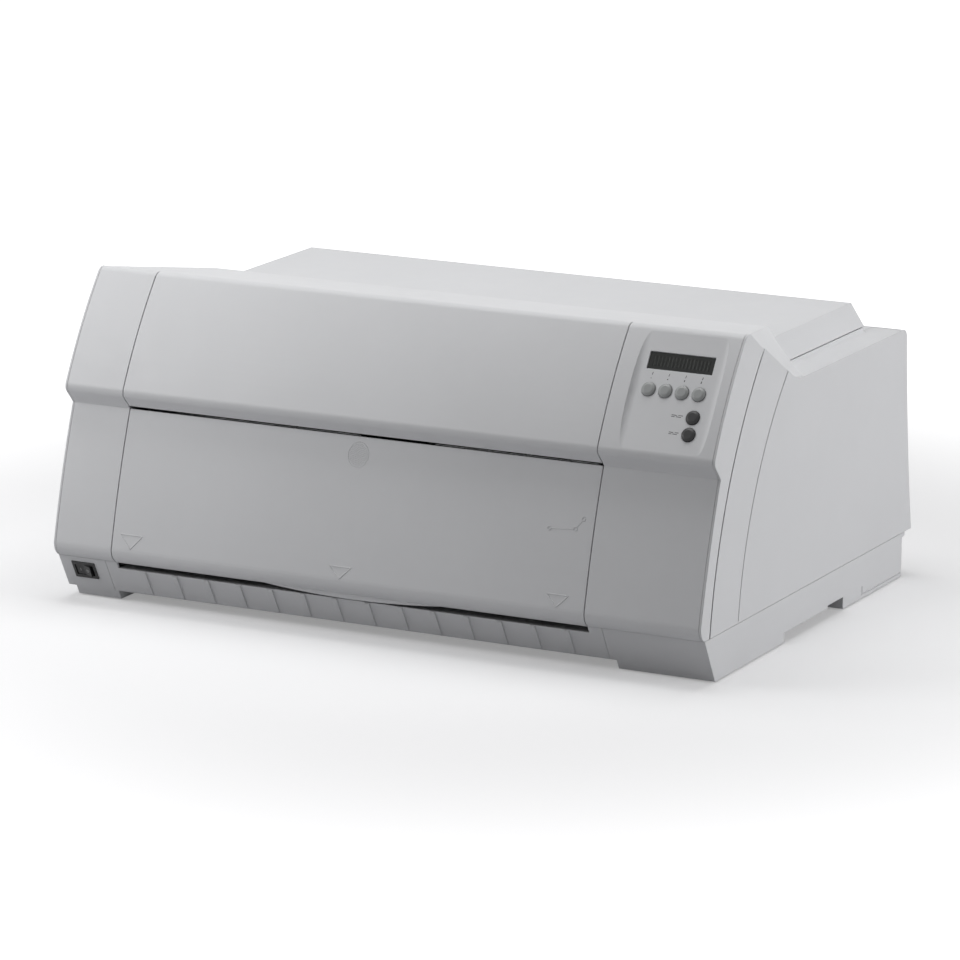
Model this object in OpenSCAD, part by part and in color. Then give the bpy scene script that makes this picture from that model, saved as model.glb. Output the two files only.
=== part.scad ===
// Wide-carriage serial matrix printer: covers, console, paper feed and print mechanism.
// X runs along the carriage, the front faces -Y, the feet stand on Z = 0.

/* [Body] */
// Overall width over the side panels
body_w = 650; // [600:1:700]
// Overall depth, nose to rear edge
body_d = 456; // [430:1:500]
// Overall height to the crest
body_h = 295; // [285:1:310]
// Wall of the moulded covers
wall = 2.6; // [2:0.1:3.5]
// Thickness of the side panels
side_t = 3; // [2.5:0.1:4]
// Gap left at a fixed seam
seam = 0.3; // [0.2:0.05:0.6]
// Gap left beside a moving cover
cover_gap = 0.5; // [0.4:0.05:1]

/* [Front outline] */
// Radius of the rolled crest
crest_r = 9; // [8:0.5:12]
// Centre of the crest roll behind the nose
crest_setback = 91.3; // [86:0.1:96]
// Radius of the bulged sloping face
brow_r = 490; // [400:10:900]
// Radius of the ridge above the flap
ridge_r = 8; // [6:0.5:10]
// Centre of the ridge behind the nose
ridge_setback = 32.5; // [28:0.5:36]
// Height of the ridge centre
ridge_z = 195.5; // [190:0.5:200]
// Height of the gap between cover and flap
split_z = 180; // [176:0.5:182]
// Width of that gap
split_gap = 3; // [2:0.5:5]
// Top edge of the flap behind the nose
flap_setback = 36.6; // [34:0.2:40]
// Radius of the bulged lower face
face_r = 972; // [800:1:1200]
// Radius of the nose at the bottom of the flap
nose_r = 13.5; // [12:0.5:15]
// Height of the nose centre
nose_z = 54; // [52:0.5:58]
// Width of the cap left of the covers
left_cap_w = 61; // [50:0.5:75]
// Width of the console right of the covers
console_w = 111.6; // [105:0.5:120]
// Thickness of the side trims
trim_t = 2; // [1.5:0.1:2.4]
// Radius of the trim's rear edge
trim_r = 446; // [380:1:600]
// Gap behind the trim
trim_gap = 2.2; // [1:0.1:3]

/* [Top and rear] */
// Height of the side ledges
ledge_z = 235; // [228:0.5:240]
// Width of the side ledges
ledge_w = 30; // [26:0.5:36]
// Height of the rear hood
hood_z = 261; // [255:0.5:266]
// Fall of the top frame from crest to rear
bridge_drop = 20.5; // [15:0.5:26]
// Rear edge of the top frame, from the body centre forwards
bridge_end = 5; // [0:0.5:10]
// Narrowing of the top frame on each side
bridge_taper = 39; // [34:0.5:44]
// Rear wall of the hood, forward of the rear face
hood_inset = 51; // [45:0.5:60]
// Lean of the rear wall
rear_lean = 18; // [12:0.5:24]
// Radius of the rear top corner
rear_r = 8; // [6:0.5:12]

/* [Base] */
// Height of the base pan
base_h = 42; // [40:0.5:44]
// Height of the pan's underside above the ground
belly_z = 10; // [8:0.5:12]
// Thickness of the pan
pan_t = 3; // [2.5:0.1:4]
// Foot front edge behind the nose
foot_setback = 30; // [26:0.5:34]
// Rear face of the base in front of the rear edge
base_inset = 22; // [18:0.5:26]
// Thickness of the rubber pads
pad_t = 1.4; // [1:0.1:2]
// Height of the paper slot's floor
slot_floor = 35.5; // [34:0.1:36]
// Number of ribs on the paper chute
chute_ribs = 14; // [10:1:18]

/* [Console] */
// Width of the display window
lcd_w = 62.5; // [50:0.5:66]
// Height of the display window
lcd_h = 16.2; // [14:0.1:18]
// Diameter of the keys
key_d = 12.6; // [11:0.1:13]
// Spacing of the four menu keys
key_pitch = 15.9; // [15.8:0.1:17]
// Key travel
key_travel = 1.2; // [0.8:0.1:1.5]
// Clearance round a key
key_gap = 0.3; // [0.2:0.05:0.4]
// Width of the coves beside the console's sunken panel
cove_w = 7; // [4:0.5:9]

/* [Mechanism] */
// Clear width between the chassis plates
mech_w = 453; // [440:1:456]
// Thickness of the chassis plates
plate_t = 2; // [1.5:0.1:3]
// Radius of the platen
platen_r = 19; // [16:0.5:21]
// Radius of the platen shaft
shaft_r = 6; // [5:0.1:7]
// Radius of the carriage rod
rod_r = 6; // [5:0.1:7]
// Radius of the tractor shaft
tractor_shaft_r = 5; // [4:0.1:6]
// Width of one tractor
tractor_w = 24; // [20:0.5:28]
// Radius of the carriage belt pulleys
pulley_r = 8; // [7:0.1:9]
// Radius of the feed belt pulleys
feed_pulley_r = 12; // [10:0.1:14]
// Teeth of the platen gear
gear_teeth = 48; // [40:4:52]
// Teeth of the motor pinion
pinion_teeth = 12; // [12:1:14]
// Tooth module of the feed gears
tooth_m = 1.5; // [1.4:0.05:1.6]
// Radial clearance of a running fit
run_fit = 0.05; // [0.02:0.01:0.09]
// Radius of the cover and flap pins
pin_r = 3; // [2.5:0.1:3.4]

/* [Hidden] */
$fn = 48;
eps = 0.01;

shell = [0.82, 0.83, 0.83];
shell_dark = [0.72, 0.73, 0.74];
key_grey = [0.55, 0.57, 0.58];
dark = [0.13, 0.13, 0.14];
steel = [0.66, 0.68, 0.70];
rubber = [0.10, 0.10, 0.10];
board_green = [0.10, 0.36, 0.20];

// ---------- geometry helpers, all in the (y, z) plane ----------
function polar(c, r, a) = c + r * [cos(a), sin(a)];
function arc(c, r, a0, a1, n) = [for (i = [0 : n]) polar(c, r, a0 + (a1 - a0) * i / n)];
// The same arc without its two ends
function inner_arc(c, r, a0, a1, n) = [for (i = [1 : n - 1]) polar(c, r, a0 + (a1 - a0) * i / n)];
function bearing(from, to) = atan2(to.y - from.y, to.x - from.x);
function turn_up(a) = a < 0 ? a + 360 : a;
// Normal of the outer line that touches circle 1 and then circle 2
function touch_normal(c1, r1, c2, r2) = bearing(c1, c2) + acos((r1 - r2) / norm(c2 - c1));
// Crossing of two circles, on the given side of the line between their centres
function crossing(c1, r1, c2, r2, side) =
    let (d = norm(c2 - c1), a = (d * d + r1 * r1 - r2 * r2) / (2 * d), h = sqrt(r1 * r1 - a * a),
         u = (c2 - c1) / d)
    c1 + a * u + side * h * [-u.y, u.x];
// Shallow arc from p to q with the given radius, bulging to the left of p -> q
function bow(p, q, r, n) =
    let (c = crossing(p, r, q, r, -1), a0 = turn_up(bearing(c, p)), a1 = turn_up(bearing(c, q)))
    arc(c, r, a0, a1, n);

// Outline of a belt run round two circles of the same radius
function belt_loop(c1, c2, r, n) =
    let (a = bearing(c1, c2))
    concat(arc(c1, r, a + 90, a + 270, n), arc(c2, r, a - 90, a + 90, n));

module along_x(x0, x1) translate([x0, 0, 0]) rotate([90, 0, 90]) linear_extrude(x1 - x0) children();
module rod_x(x0, x1, r, at, fn = 48) translate([x0, at.x, at.y]) rotate([0, 90, 0])
    cylinder(h = x1 - x0, r = r, $fn = fn);
module box(lo, hi) translate(lo) cube(hi - lo);
module both_sides() { children(); mirror([1, 0, 0]) children(); }

// ---------- outline of the body seen from the side ----------
front_y = -body_d / 2;
rear_y = body_d / 2;
half_w = body_w / 2;
inner_x = half_w - side_t;
crest_c = [front_y + crest_setback, body_h - crest_r];
ridge_c = [front_y + ridge_setback, ridge_z];
nose_c = [front_y + nose_r, nose_z];
flap_top = [front_y + flap_setback, split_z - split_gap / 2];
face_n = touch_normal(ridge_c, ridge_r, crest_c, crest_r);
face_a = face_n - 90;
brow_c = crossing(crest_c, brow_r - crest_r, ridge_c, brow_r - ridge_r, 1);
brow_top_n = turn_up(bearing(brow_c, crest_c));
brow_low_n = turn_up(bearing(brow_c, ridge_c));
under_n = 222.6;
lid_edge_n = 60;
face_c = crossing(flap_top, face_r, nose_c, face_r - nose_r, 1);
face_top_n = turn_up(bearing(face_c, flap_top));
face_low_n = turn_up(bearing(face_c, nose_c));
crease_n = 247;
cap_low_n = 180 + asin((nose_z - base_h - seam) / nose_r);

// Crest, bulged sloping face and turned-under ridge, offset inwards by o
function under_end(o) =
    let (p = polar(ridge_c, ridge_r - o, under_n), t = (p.y - split_z - split_gap / 2) / cos(under_n - 180))
    p + t * [-sin(under_n), cos(under_n)];
function upper_line(o, a0) = concat(
    arc(crest_c, crest_r - o, a0, brow_top_n, 8),
    inner_arc(brow_c, brow_r - o, brow_top_n, brow_low_n, 12),
    arc(ridge_c, ridge_r - o, brow_low_n, under_n, 8),
    [under_end(o)]);
function lower_line(o, a1) = concat(
    arc(face_c, face_r - o, face_top_n, face_low_n, 8),
    arc(nose_c, nose_r - o, face_low_n, a1, 8));
function reverse(v) = [for (i = [len(v) - 1 : -1 : 0]) v[i]];
module band(outer, inner) polygon(concat(outer, reverse(inner)));

// Base front face
base_top = [polar(nose_c, nose_r, cap_low_n).x + 1, base_h];
foot_front = [front_y + foot_setback, 0];
function base_y(z) = base_top.x + (foot_front.x - base_top.x) * (base_h - z) / base_h;
base_a = atan2(base_top.y - foot_front.y, base_top.x - foot_front.x);
base_rear_y = rear_y - base_inset;

// Back slope from the crest to the side ledge
trim_top = [crest_c.x + 32.7, body_h - 18.5];
slope_start = polar(crest_c, crest_r, lid_edge_n);
valley_y = -18;
valley_r = 58;
valley_c = [valley_y, ledge_z + valley_r];
valley_n = 239;
valley_in = polar(valley_c, valley_r, valley_n);
function mix(p, q, y) = p.y + (q.y - p.y) * (y - p.x) / (q.x - p.x);
function back_z(y) = y < trim_top.x ? mix(slope_start, trim_top, y)
    : y < valley_in.x ? mix(trim_top, valley_in, y)
    : y < valley_y ? valley_c.y - sqrt(valley_r * valley_r - pow(y - valley_y, 2))
    : ledge_z;
trim_low = [polar(nose_c, nose_r, cap_low_n).x + 12, base_h + seam];
trim_edge = bow(trim_top, trim_low, trim_r, 16);
rear_top = [rear_y - rear_lean, ledge_z - rear_r];
rear_low = [rear_y, base_h + seam];
rear_face_r = 1466;
rear_edge = bow(rear_low, rear_top, rear_face_r, 8);

// Front openings
cover_x0 = left_cap_w - half_w;
cover_x1 = half_w - console_w;
mech_x = (cover_x0 + cover_x1) / 2;
plate_l = mech_x - mech_w / 2;
plate_r = mech_x + mech_w / 2;

// ---------- outer panels ----------
groove_d = 0.6;
groove_w = 1.2;
function groove_line(o) = bow([trim_top.x + 49 + o, back_z(trim_top.x + 49 + o)],
    [trim_low.x + 56 + o, base_h + 2], 354, 16);

ledge_in = half_w - ledge_w - 1;
ledge_lip = 4.8;
lip_t = 2;
module side_panel() {
    ledge_front = valley_y + seam;
    cove_c = [ledge_in + lip_t + ledge_lip, ledge_z + ledge_lip];
    lip_rear = hood_rear - 2.5;
    difference() {
        union() {
            along_x(inner_x, half_w) polygon(concat(
                trim_edge, [rear_low], rear_edge, arc(rear_top - [rear_r, 0], rear_r, 0, 90, 6),
                arc(valley_c, valley_r, 270, valley_n, 8)));
            // ledge with the coved upstand that the hood closes on
            difference() {
                box([ledge_in, ledge_front, ledge_z - side_t], [inner_x + eps, rear_panel_y, ledge_z]);
                translate([inner_x, valley_y, 0]) rotate([0, 0, bridge_skew])
                    translate([-body_w, -body_w, 0]) cube([2 * body_w, body_w + 2 * seam, body_h]);
            }
            translate([0, lip_rear, 0]) rotate([90, 0, 0]) linear_extrude(lip_rear - hood_front)
                polygon(concat([[ledge_in, ledge_z - side_t], [ledge_in, ledge_z + ledge_lip]],
                    arc(cove_c, ledge_lip, 180, 270, 6), [[cove_c.x, ledge_z - side_t]]));
        }
        // moulded line behind the trim
        along_x(half_w - groove_d, half_w + 1)
            polygon(concat(groove_line(0), reverse(groove_line(groove_w))));
    }
}

module right_side_panel() color(shell) side_panel();
module left_side_panel() color(shell) mirror([1, 0, 0]) side_panel();

module side_trim() {
    edge = [for (p = trim_edge) p - [trim_gap, 0]];
    along_x(half_w - trim_t, half_w) polygon(concat(
        [edge[0]], upper_line(0, lid_edge_n), lower_line(0, cap_low_n), reverse(edge)));
}
module right_side_trim() color(shell) side_trim();
module left_side_trim() color(shell) mirror([1, 0, 0]) side_trim();

// Outline of a fixed front moulding, offset inwards by o
function cap_line(o) = concat(upper_line(o, lid_edge_n), lower_line(o, cap_low_n));
// End wall of a front moulding, deep enough to carry the pivots
web_d = 10;
module cap_web(x0, x1) difference() {
    along_x(x0, x1) polygon(concat(cap_line(0), [
        [nose_c.x + web_d, base_h + seam], nose_c + [web_d, 8], ridge_c + [web_d + 3, -16],
        ridge_c + [web_d + 3, 0], crest_c + 0.65 * crest_r * [1, -1],
        crest_c + 0.65 * crest_r * [1, 0.6]]));
    for (c = [crest_c, nose_c]) rod_x(x0 - 1, x1 + 1, pin_r + seam / 10, c);
}
module cap_shell(x0, x1) along_x(x0, x1) band(cap_line(0), cap_line(wall));

module left_front_cap() color(shell) {
    cap_shell(-half_w + trim_t + seam, cover_x0 - cover_gap);
    cap_web(cover_x0 - cover_gap - wall, cover_x0 - cover_gap);
}

// Frame of the console's flat panel: origin on the ridge end, y up the slope, z outwards
face_o = polar(ridge_c, ridge_r, face_n);
face_l = sqrt(pow(norm(crest_c - ridge_c), 2) - pow(crest_r - ridge_r, 2));
module on_face(x, s) translate([x, face_o.x, face_o.y]) rotate([face_a, 0, 0]) translate([0, s, 0])
    children();
function on_slope(s, t) = polar(polar(face_o, s, face_a), t, face_n);
panel_x0 = cover_x1 + 16.4;
panel_x1 = half_w - 11;
panel_edge = 5;
key_r = key_d / 2;
key_flange = 1.4;
key_drop = key_d + 2 * key_flange + seam;
lcd_x = half_w - 54;
key_x = half_w - 30.4;
menu_x = key_x - 3 * key_pitch;
lower_s = 0.166 * face_l;
upper_s = lower_s + key_drop;
menu_s = upper_s + 0.198 * face_l;
lcd_s = menu_s + 0.249 * face_l;
skin = wall;

// Section of the cut that sinks the panel, with an elliptical cove down each side
cove_h = 3.6;
panel_cut = concat([[panel_x0, 2 * cove_h]],
    [for (a = [0 : 15 : 90]) [panel_x0 + cove_w * (1 - cos(a)), cove_h * (1 - sin(a))]],
    [for (a = [90 : -15 : 0]) [panel_x1 - cove_w * (1 - cos(a)), cove_h * (1 - sin(a))]],
    [[panel_x1, 2 * cove_h]]);

module console_housing() color(shell) {
    cap_web(cover_x1 + cover_gap, cover_x1 + cover_gap + wall);
    difference() {
        union() {
            cap_shell(cover_x1 + cover_gap, half_w - trim_t - seam);
            // backing of the flat panel
            along_x(panel_x0 - 2, panel_x1 + 2) polygon(concat(
                inner_arc(brow_c, brow_r - wall / 2, brow_top_n, brow_low_n, 12),
                [on_slope(wall, -skin), on_slope(face_l - wall, -skin)]));
        }
        on_face(0, face_l + panel_edge) rotate([90, 0, 0])
            linear_extrude(face_l + 2 * panel_edge) polygon(panel_cut);
        on_face(lcd_x, lcd_s) translate([-lcd_w / 2, -lcd_h / 2, -skin - 1]) cube([lcd_w, lcd_h, skin + 2]);
        for (p = key_places) on_face(p.x, p.y) translate([0, 0, -skin - 1])
            cylinder(h = skin + 2, r = key_r + key_gap);
    }
}

key_places = [[menu_x, menu_s], [menu_x + key_pitch, menu_s], [menu_x + 2 * key_pitch, menu_s],
    [menu_x + 3 * key_pitch, menu_s], [key_x, upper_s], [key_x, lower_s]];
key_proud = 2.2;
key_flange_t = 1;
key_stem_r = 2;
board_s = skin + 8;
board_t = 1.6;
stem_end = key_travel + 0.6 - board_s;
flange_top = -skin - seam;

// Key turned about its own axis: stem, flange, cap and a wide bevel round the fingertip flat
module key(i) on_face(key_places[i].x, key_places[i].y) rotate_extrude() polygon([
    [0, stem_end], [key_stem_r, stem_end], [key_stem_r, flange_top - key_flange_t],
    [key_r + key_flange, flange_top - key_flange_t], [key_r + key_flange, flange_top], [key_r, flange_top],
    [key_r, 0.35 * key_proud], [0.92 * key_r, 0.6 * key_proud], [0.62 * key_r, key_proud], [0, key_proud]]);
module menu_key_1() color(key_grey) key(0);
module menu_key_2() color(key_grey) key(1);
module menu_key_3() color(key_grey) key(2);
module menu_key_4() color(key_grey) key(3);
module upper_key() color(dark) key(4);
module lower_key() color(dark) key(5);

lcd_sunk = 1;
lcd_rim = 3;
module lcd_window() color(dark) on_face(lcd_x, lcd_s) {
    translate([-lcd_w / 2 + seam, -lcd_h / 2 + seam, -skin - 1.2])
        cube([lcd_w - 2 * seam, lcd_h - 2 * seam, skin + 1.2 - lcd_sunk]);
    // display module behind the window
    translate([-lcd_w / 2 - lcd_rim, -lcd_h / 2 - lcd_rim, -board_s + 2.5])
        cube([lcd_w + 2 * lcd_rim, lcd_h + 2 * lcd_rim, board_s - skin - 3]);
}

switch_pad = 3;
spacer_r = 2.2;
module control_board() color(board_green) {
    on_face(0, 0) translate([panel_x0 + cove_w, 1.6 * panel_edge, -board_s - board_t])
        cube([panel_x1 - panel_x0 - 2 * cove_w, face_l - 3.2 * panel_edge, board_t]);
    // key switches, spacers and the display's connector
    for (p = key_places) on_face(p.x, p.y) translate([-switch_pad, -switch_pad, -board_s - eps])
        cube([2 * switch_pad, 2 * switch_pad, 0.5 + eps]);
    for (x = [panel_x0 + cove_w + 4, panel_x1 - cove_w - 4])
        on_face(x, lcd_s - lcd_h / 2 - lcd_rim - 1.6 * spacer_r) translate([0, 0, -board_s - eps])
            cylinder(h = board_s - skin + eps - 0.1, r = spacer_r);
    on_face(lcd_x, lcd_s) translate([-lcd_w / 2, -4, -board_s - eps]) cube([lcd_w, 8, 2.4 + eps]);
}

// ---------- top frame ----------
bridge_front = [crest_c.x + crest_r / 2 + 2, body_h - 1.3];
bridge_x = inner_x - seam;
bridge_gap_y = -bridge_end + 11.4;
hood_front = bridge_gap_y + 1.6;
lower_x = half_w - ledge_w + 2;
bridge_skew = -atan2(bridge_gap_y - valley_y, bridge_x - lower_x);
bridge_stations = [bridge_front.x, trim_top.x, (trim_top.x + valley_in.x) / 2, valley_in.x,
    (valley_in.x + valley_y) / 2, valley_y, -bridge_end, bridge_gap_y];
function bridge_part(y) = (y - bridge_front.x) / (-bridge_end - bridge_front.x);
function bridge_top(y) = y <= -bridge_end
    ? [bridge_x - bridge_taper * bridge_part(y), bridge_front.y - bridge_drop * bridge_part(y)]
    : [bridge_x - bridge_taper + 2.5, hood_z - 1.5];
function bridge_low(y) = y <= valley_y ? [bridge_x, back_z(y)]
    : [bridge_x - (y - valley_y) * (bridge_x - lower_x) / (bridge_gap_y - valley_y), ledge_z + seam];
bridge_flange = 10;
function bridge_half(y, s) =
    let (t = bridge_top(y), l = bridge_low(y))
    [[s * (l.x - wall), y, l.y - bridge_flange], [s * l.x, y, l.y - bridge_flange], [s * l.x, y, l.y],
     [s * t.x, y, t.y]];
function bridge_inside(y, s) =
    let (t = bridge_top(y), l = bridge_low(y))
    [[s * (t.x - 1.4 * wall), y, t.y - wall], [s * (l.x - wall), y, min(l.y, t.y - wall - 0.4)]];
function bridge_ring(y) = concat(bridge_half(y, -1), reverse(bridge_half(y, 1)),
    reverse(bridge_inside(y, 1)), bridge_inside(y, -1));

// Solid through a list of rings that have the same number of points
module loft(rings) {
    n = len(rings[0]);
    m = len(rings);
    points = [for (r = rings) for (p = r) p];
    sides = [for (k = [0 : m - 2]) for (i = [0 : n - 1]) let (j = (i + 1) % n)
        each [[k * n + i, k * n + j, (k + 1) * n + j], [k * n + i, (k + 1) * n + j, (k + 1) * n + i]]];
    ends = [[for (i = [n - 1 : -1 : 0]) i], [for (i = [0 : n - 1]) (m - 1) * n + i]];
    polyhedron(points, concat(sides, ends));
}

module top_frame() color(shell) difference() {
    loft([for (y = bridge_stations) bridge_ring(y)]);
    // octagon round the crest, which clears its rounding
    along_x(-half_w, half_w) polygon(arc(crest_c, (crest_r + 0.4) / cos(22.5), 22.5, 337.5, 7));
}

// ---------- rear hood and rear wall ----------
rear_panel_y = rear_top.x - 9;
hood_x = bridge_x - bridge_taper + 0.3;
hood_foot_x = ledge_in + lip_t;
hood_low = ledge_z + ledge_lip + 0.8;
hood_rear = rear_y - hood_inset;
hood_axis = [hood_rear - 1.5, ledge_z + 6.3];
shelf_y = hood_axis.x - 10;
knuckle_r = 4.5;
knuckle_w = 36;
knuckle_x = 168;
ear_w = 6;
hood_pin_r = 2;
function ear_mid(s) = knuckle_x + s * (knuckle_w / 2 + ear_w / 2 + cover_gap);

module hood_solid(o, low) hull() {
    k = o / cos(35);
    box([-(hood_x - k), hood_front + o, hood_z - o - seam], [hood_x - k, hood_rear - o, hood_z - o]);
    box([-(hood_foot_x - k), hood_front + o, low], [hood_foot_x - k, hood_rear - o, low + seam]);
}

module rear_hood() color(shell) difference() {
    union() {
        difference() {
            hood_solid(0, hood_low);
            hood_solid(wall, hood_low - 1.5);
        }
        both_sides() rod_x(knuckle_x - knuckle_w / 2, knuckle_x + knuckle_w / 2, knuckle_r, hood_axis);
    }
    both_sides() {
        rod_x(knuckle_x - knuckle_w, knuckle_x + knuckle_w, hood_pin_r + run_fit, hood_axis);
        for (s = [-1, 1]) translate([ear_mid(s), hood_axis.x, hood_axis.y])
            cube([ear_w + 2 * cover_gap, 3 * knuckle_r, 3 * knuckle_r], center = true);
    }
}

module hood_pins() color(steel) both_sides()
    rod_x(knuckle_x - knuckle_w / 2 - ear_w, knuckle_x + knuckle_w / 2 + ear_w, hood_pin_r, hood_axis);

rear_flange_x = ledge_in - seam;
rear_slot_z = 212.5;
rear_slot_h = 8;
slot_x0 = plate_l + 32;
slot_x1 = plate_r - 32;
inlet_x = -half_w + 50;
inlet_z = 72;

vent_n = 14;
vent_step = 6;
vent_w = 3;
vent_x = half_w - 110;
vent_z = [120, 160];
rear_cut = rear_panel_y - 20;
module rear_panel() color(shell) difference() {
    x = inner_x - seam;
    corner = rear_top - [rear_r, 0];
    inside = concat(rear_edge, arc(corner, rear_r - wall, 0, 90, 6));
    union() {
        along_x(-x, x) band(concat(rear_edge, arc(corner, rear_r, 0, 90, 6)),
            [for (p = inside) p.y > rear_top.y + eps ? p : p - [wall, 0]]);
        // shelf behind the hood, with a lip inside it
        along_x(-rear_flange_x, rear_flange_x) polygon([
            [shelf_y, ledge_z - wall], [rear_top.x, ledge_z - wall], [rear_top.x - rear_r, ledge_z],
            [shelf_y + lip_t, ledge_z], [shelf_y + lip_t, ledge_z + ledge_lip],
            [shelf_y, ledge_z + ledge_lip]]);
        // ears that carry the hood
        both_sides() for (s = [-1, 1]) {
            x0 = ear_mid(s) - ear_w / 2;
            rod_x(x0, x0 + ear_w, knuckle_r, hood_axis);
            box([x0, hood_axis.x, ledge_z - wall], [x0 + ear_w, hood_axis.x + knuckle_r, hood_axis.y]);
        }
    }
    both_sides() rod_x(knuckle_x - knuckle_w, knuckle_x + knuckle_w, hood_pin_r + seam / 10, hood_axis);
    // paper slot, connector openings, inlet opening and vents
    box([slot_x0, rear_cut, rear_slot_z - rear_slot_h / 2],
        [slot_x1, rear_y + 1, rear_slot_z + rear_slot_h / 2]);
    for (p = ports) box([p[0] - p[1] / 2 - port_gap, rear_cut, base_h - 1],
        [p[0] + p[1] / 2 + port_gap, rear_y + 1, board_z + p[2] + port_gap]);
    box([inlet_x - inlet_w / 2 - seam, rear_cut, inlet_z - inlet_h / 2 - seam],
        [inlet_x + inlet_w / 2 + seam, rear_y + 1, inlet_z + inlet_h / 2 + seam]);
    for (i = [0 : vent_n - 1]) box([vent_x + i * vent_step, rear_cut, vent_z[0]],
        [vent_x + i * vent_step + vent_w, rear_y + 1, vent_z[1]]);
}

// x centre, width and height of each connector on the main board
ports = [[0, 58, 12], [70, 32, 11], [120, 14, 11]];
port_gap = 0.6;
port_wall = 1.5;
port_floor = 3.2;
port_depth = 9.5;
port_face = rear_y - 2.5;
board_z = base_h + 2;
board_rear = base_rear_y - 9;
module interface_ports() color(dark) for (p = ports) difference() {
    box([p[0] - p[1] / 2, board_rear - 8, board_z], [p[0] + p[1] / 2, port_face, board_z + p[2]]);
    box([p[0] - p[1] / 2 + port_wall, port_face - port_depth, board_z + port_floor],
        [p[0] + p[1] / 2 - port_wall, port_face + 1, board_z + p[2] - port_wall]);
}

inlet_w = 48;
inlet_h = 24;
inlet_face = rear_y - 3.2;
inlet_body = [27, 28, 20];
inlet_hole = [23, 16, 15];
inlet_pin = [2, 15, 4];
module power_inlet() color(dark) translate([inlet_x, inlet_face, inlet_z]) {
    difference() {
        union() {
            translate([-inlet_body.x / 2, -inlet_body.y, -inlet_body.z / 2]) cube(inlet_body);
            translate([-inlet_w / 2, -3, -inlet_h / 2]) cube([inlet_w, 3, inlet_h]);
        }
        translate([-inlet_hole.x / 2, -inlet_hole.y, -inlet_hole.z / 2]) cube(inlet_hole + [0, 1, 0]);
    }
    for (p = [[-7, -2], [0, 2.5], [7, -2]])
        translate([p.x - inlet_pin.x / 2, -inlet_hole.y - 1, p.y - inlet_pin.z / 2]) cube(inlet_pin);
}

// ---------- base ----------
foot_w = 92;
foot_back = -55;
rear_foot_y = 73;
left_foot = [[-half_w + 8, -half_w + 53], [-half_w + 8, -half_w + 93]];
right_foot = [half_w - foot_w, half_w];
foot_z = pad_t;
base_lean = 0.5;
rim_y = rear_y - 15;
rim_t = 3;
chute_x0 = cover_x0 - 11.5;
chute_x1 = cover_x1 + 13.1;

module foot_block(x0, x1, rear) along_x(x0, x1) polygon(rear
    ? [[rear_foot_y, foot_z], [base_rear_y, foot_z], [base_rear_y + base_lean, belly_z],
        [rear_foot_y, belly_z]]
    : [[base_y(foot_z), foot_z], [foot_back, foot_z], [foot_back, belly_z], [base_y(belly_z), belly_z]]);

module pan_front(x0, x1) along_x(x0, x1) polygon([[base_y(belly_z), belly_z], base_top,
    base_top + [pan_t + 1, 0], [base_y(belly_z) + pan_t + 1, belly_z]]);

switch_x = -half_w + 24;
switch_s = 32.5;
switch_w = 24;
switch_h = 18.4;
module on_base(x, s) translate([x, foot_front.x, foot_front.y]) rotate([base_a, 0, 0])
    translate([0, s, 0]) children();

board_front = -35;
standoff_in = 25;
standoffs = [for (x = [plate_l + standoff_in, plate_r - standoff_in],
    y = [board_front + 10, board_rear - 22]) [x, y]];

// Undercut rim that the body's rear wall stands on
function base_rim(inside) = concat([[base_rear_y + base_lean, belly_z],
    [base_rear_y + 2 * base_lean, base_h - rim_t - 1], [rim_y, base_h - rim_t], [rim_y, base_h]], inside);
rear_in = base_rear_y - pan_t + base_lean;
line_t = 1.2;
line_x = [half_w - groove_d, half_w + 1];
line_y = [115.4, base_rear_y - 3];
line_z = [4.4, 12.6];
notch_w = 40;
notch_d = 34;

module base_pan() color(shell) difference() {
    union() {
        box([-half_w, base_y(belly_z) + chute_t + seam, belly_z],
            [half_w, base_rear_y + base_lean, floor_z]);
        both_sides() along_x(half_w - pan_t, half_w)
            polygon(base_rim([base_top, [base_y(belly_z), belly_z]]));
        pan_front(-half_w, chute_x0 - seam);
        pan_front(chute_x1 + seam, half_w);
        along_x(-half_w, half_w) polygon(base_rim([[rear_in, base_h], [rear_in, belly_z]]));
        foot_block(left_foot[0][0], left_foot[0][1], false);
        foot_block(left_foot[1][0], left_foot[1][1], true);
        foot_block(right_foot[0], right_foot[1], false);
        foot_block(right_foot[0], right_foot[1], true);
        for (p = standoffs) translate([p.x, p.y, belly_z]) cylinder(h = board_z - board_t - belly_z, r = 4);
    }
    // switch opening
    on_base(switch_x, switch_s) cube([switch_w - 3, switch_h - 3, 20], center = true);
    // moulded line on the rear right foot
    box([line_x[0], line_y[0], line_z[0]], [line_x[1], line_y[0] + line_t, line_z[1]]);
    box([line_x[0], line_y[0], line_z[0]], [line_x[1], line_y[1], line_z[0] + line_t]);
    // finger notch under the right side
    box([half_w - notch_w, rear_foot_y - notch_d, belly_z - 1], [half_w + 1, rear_foot_y, floor_z - 0.5]);
}

pad_r = 15;
pads = [[(left_foot[0][0] + left_foot[0][1]) / 2, -150], [right_foot[0] + foot_w / 2, -150],
    [(left_foot[1][0] + left_foot[1][1]) / 2, 150], [right_foot[0] + foot_w / 2, 150]];
module rubber_feet() color(rubber) for (p = pads)
    translate([p.x, p.y, 0]) cylinder(h = pad_t, r = pad_r);

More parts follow.
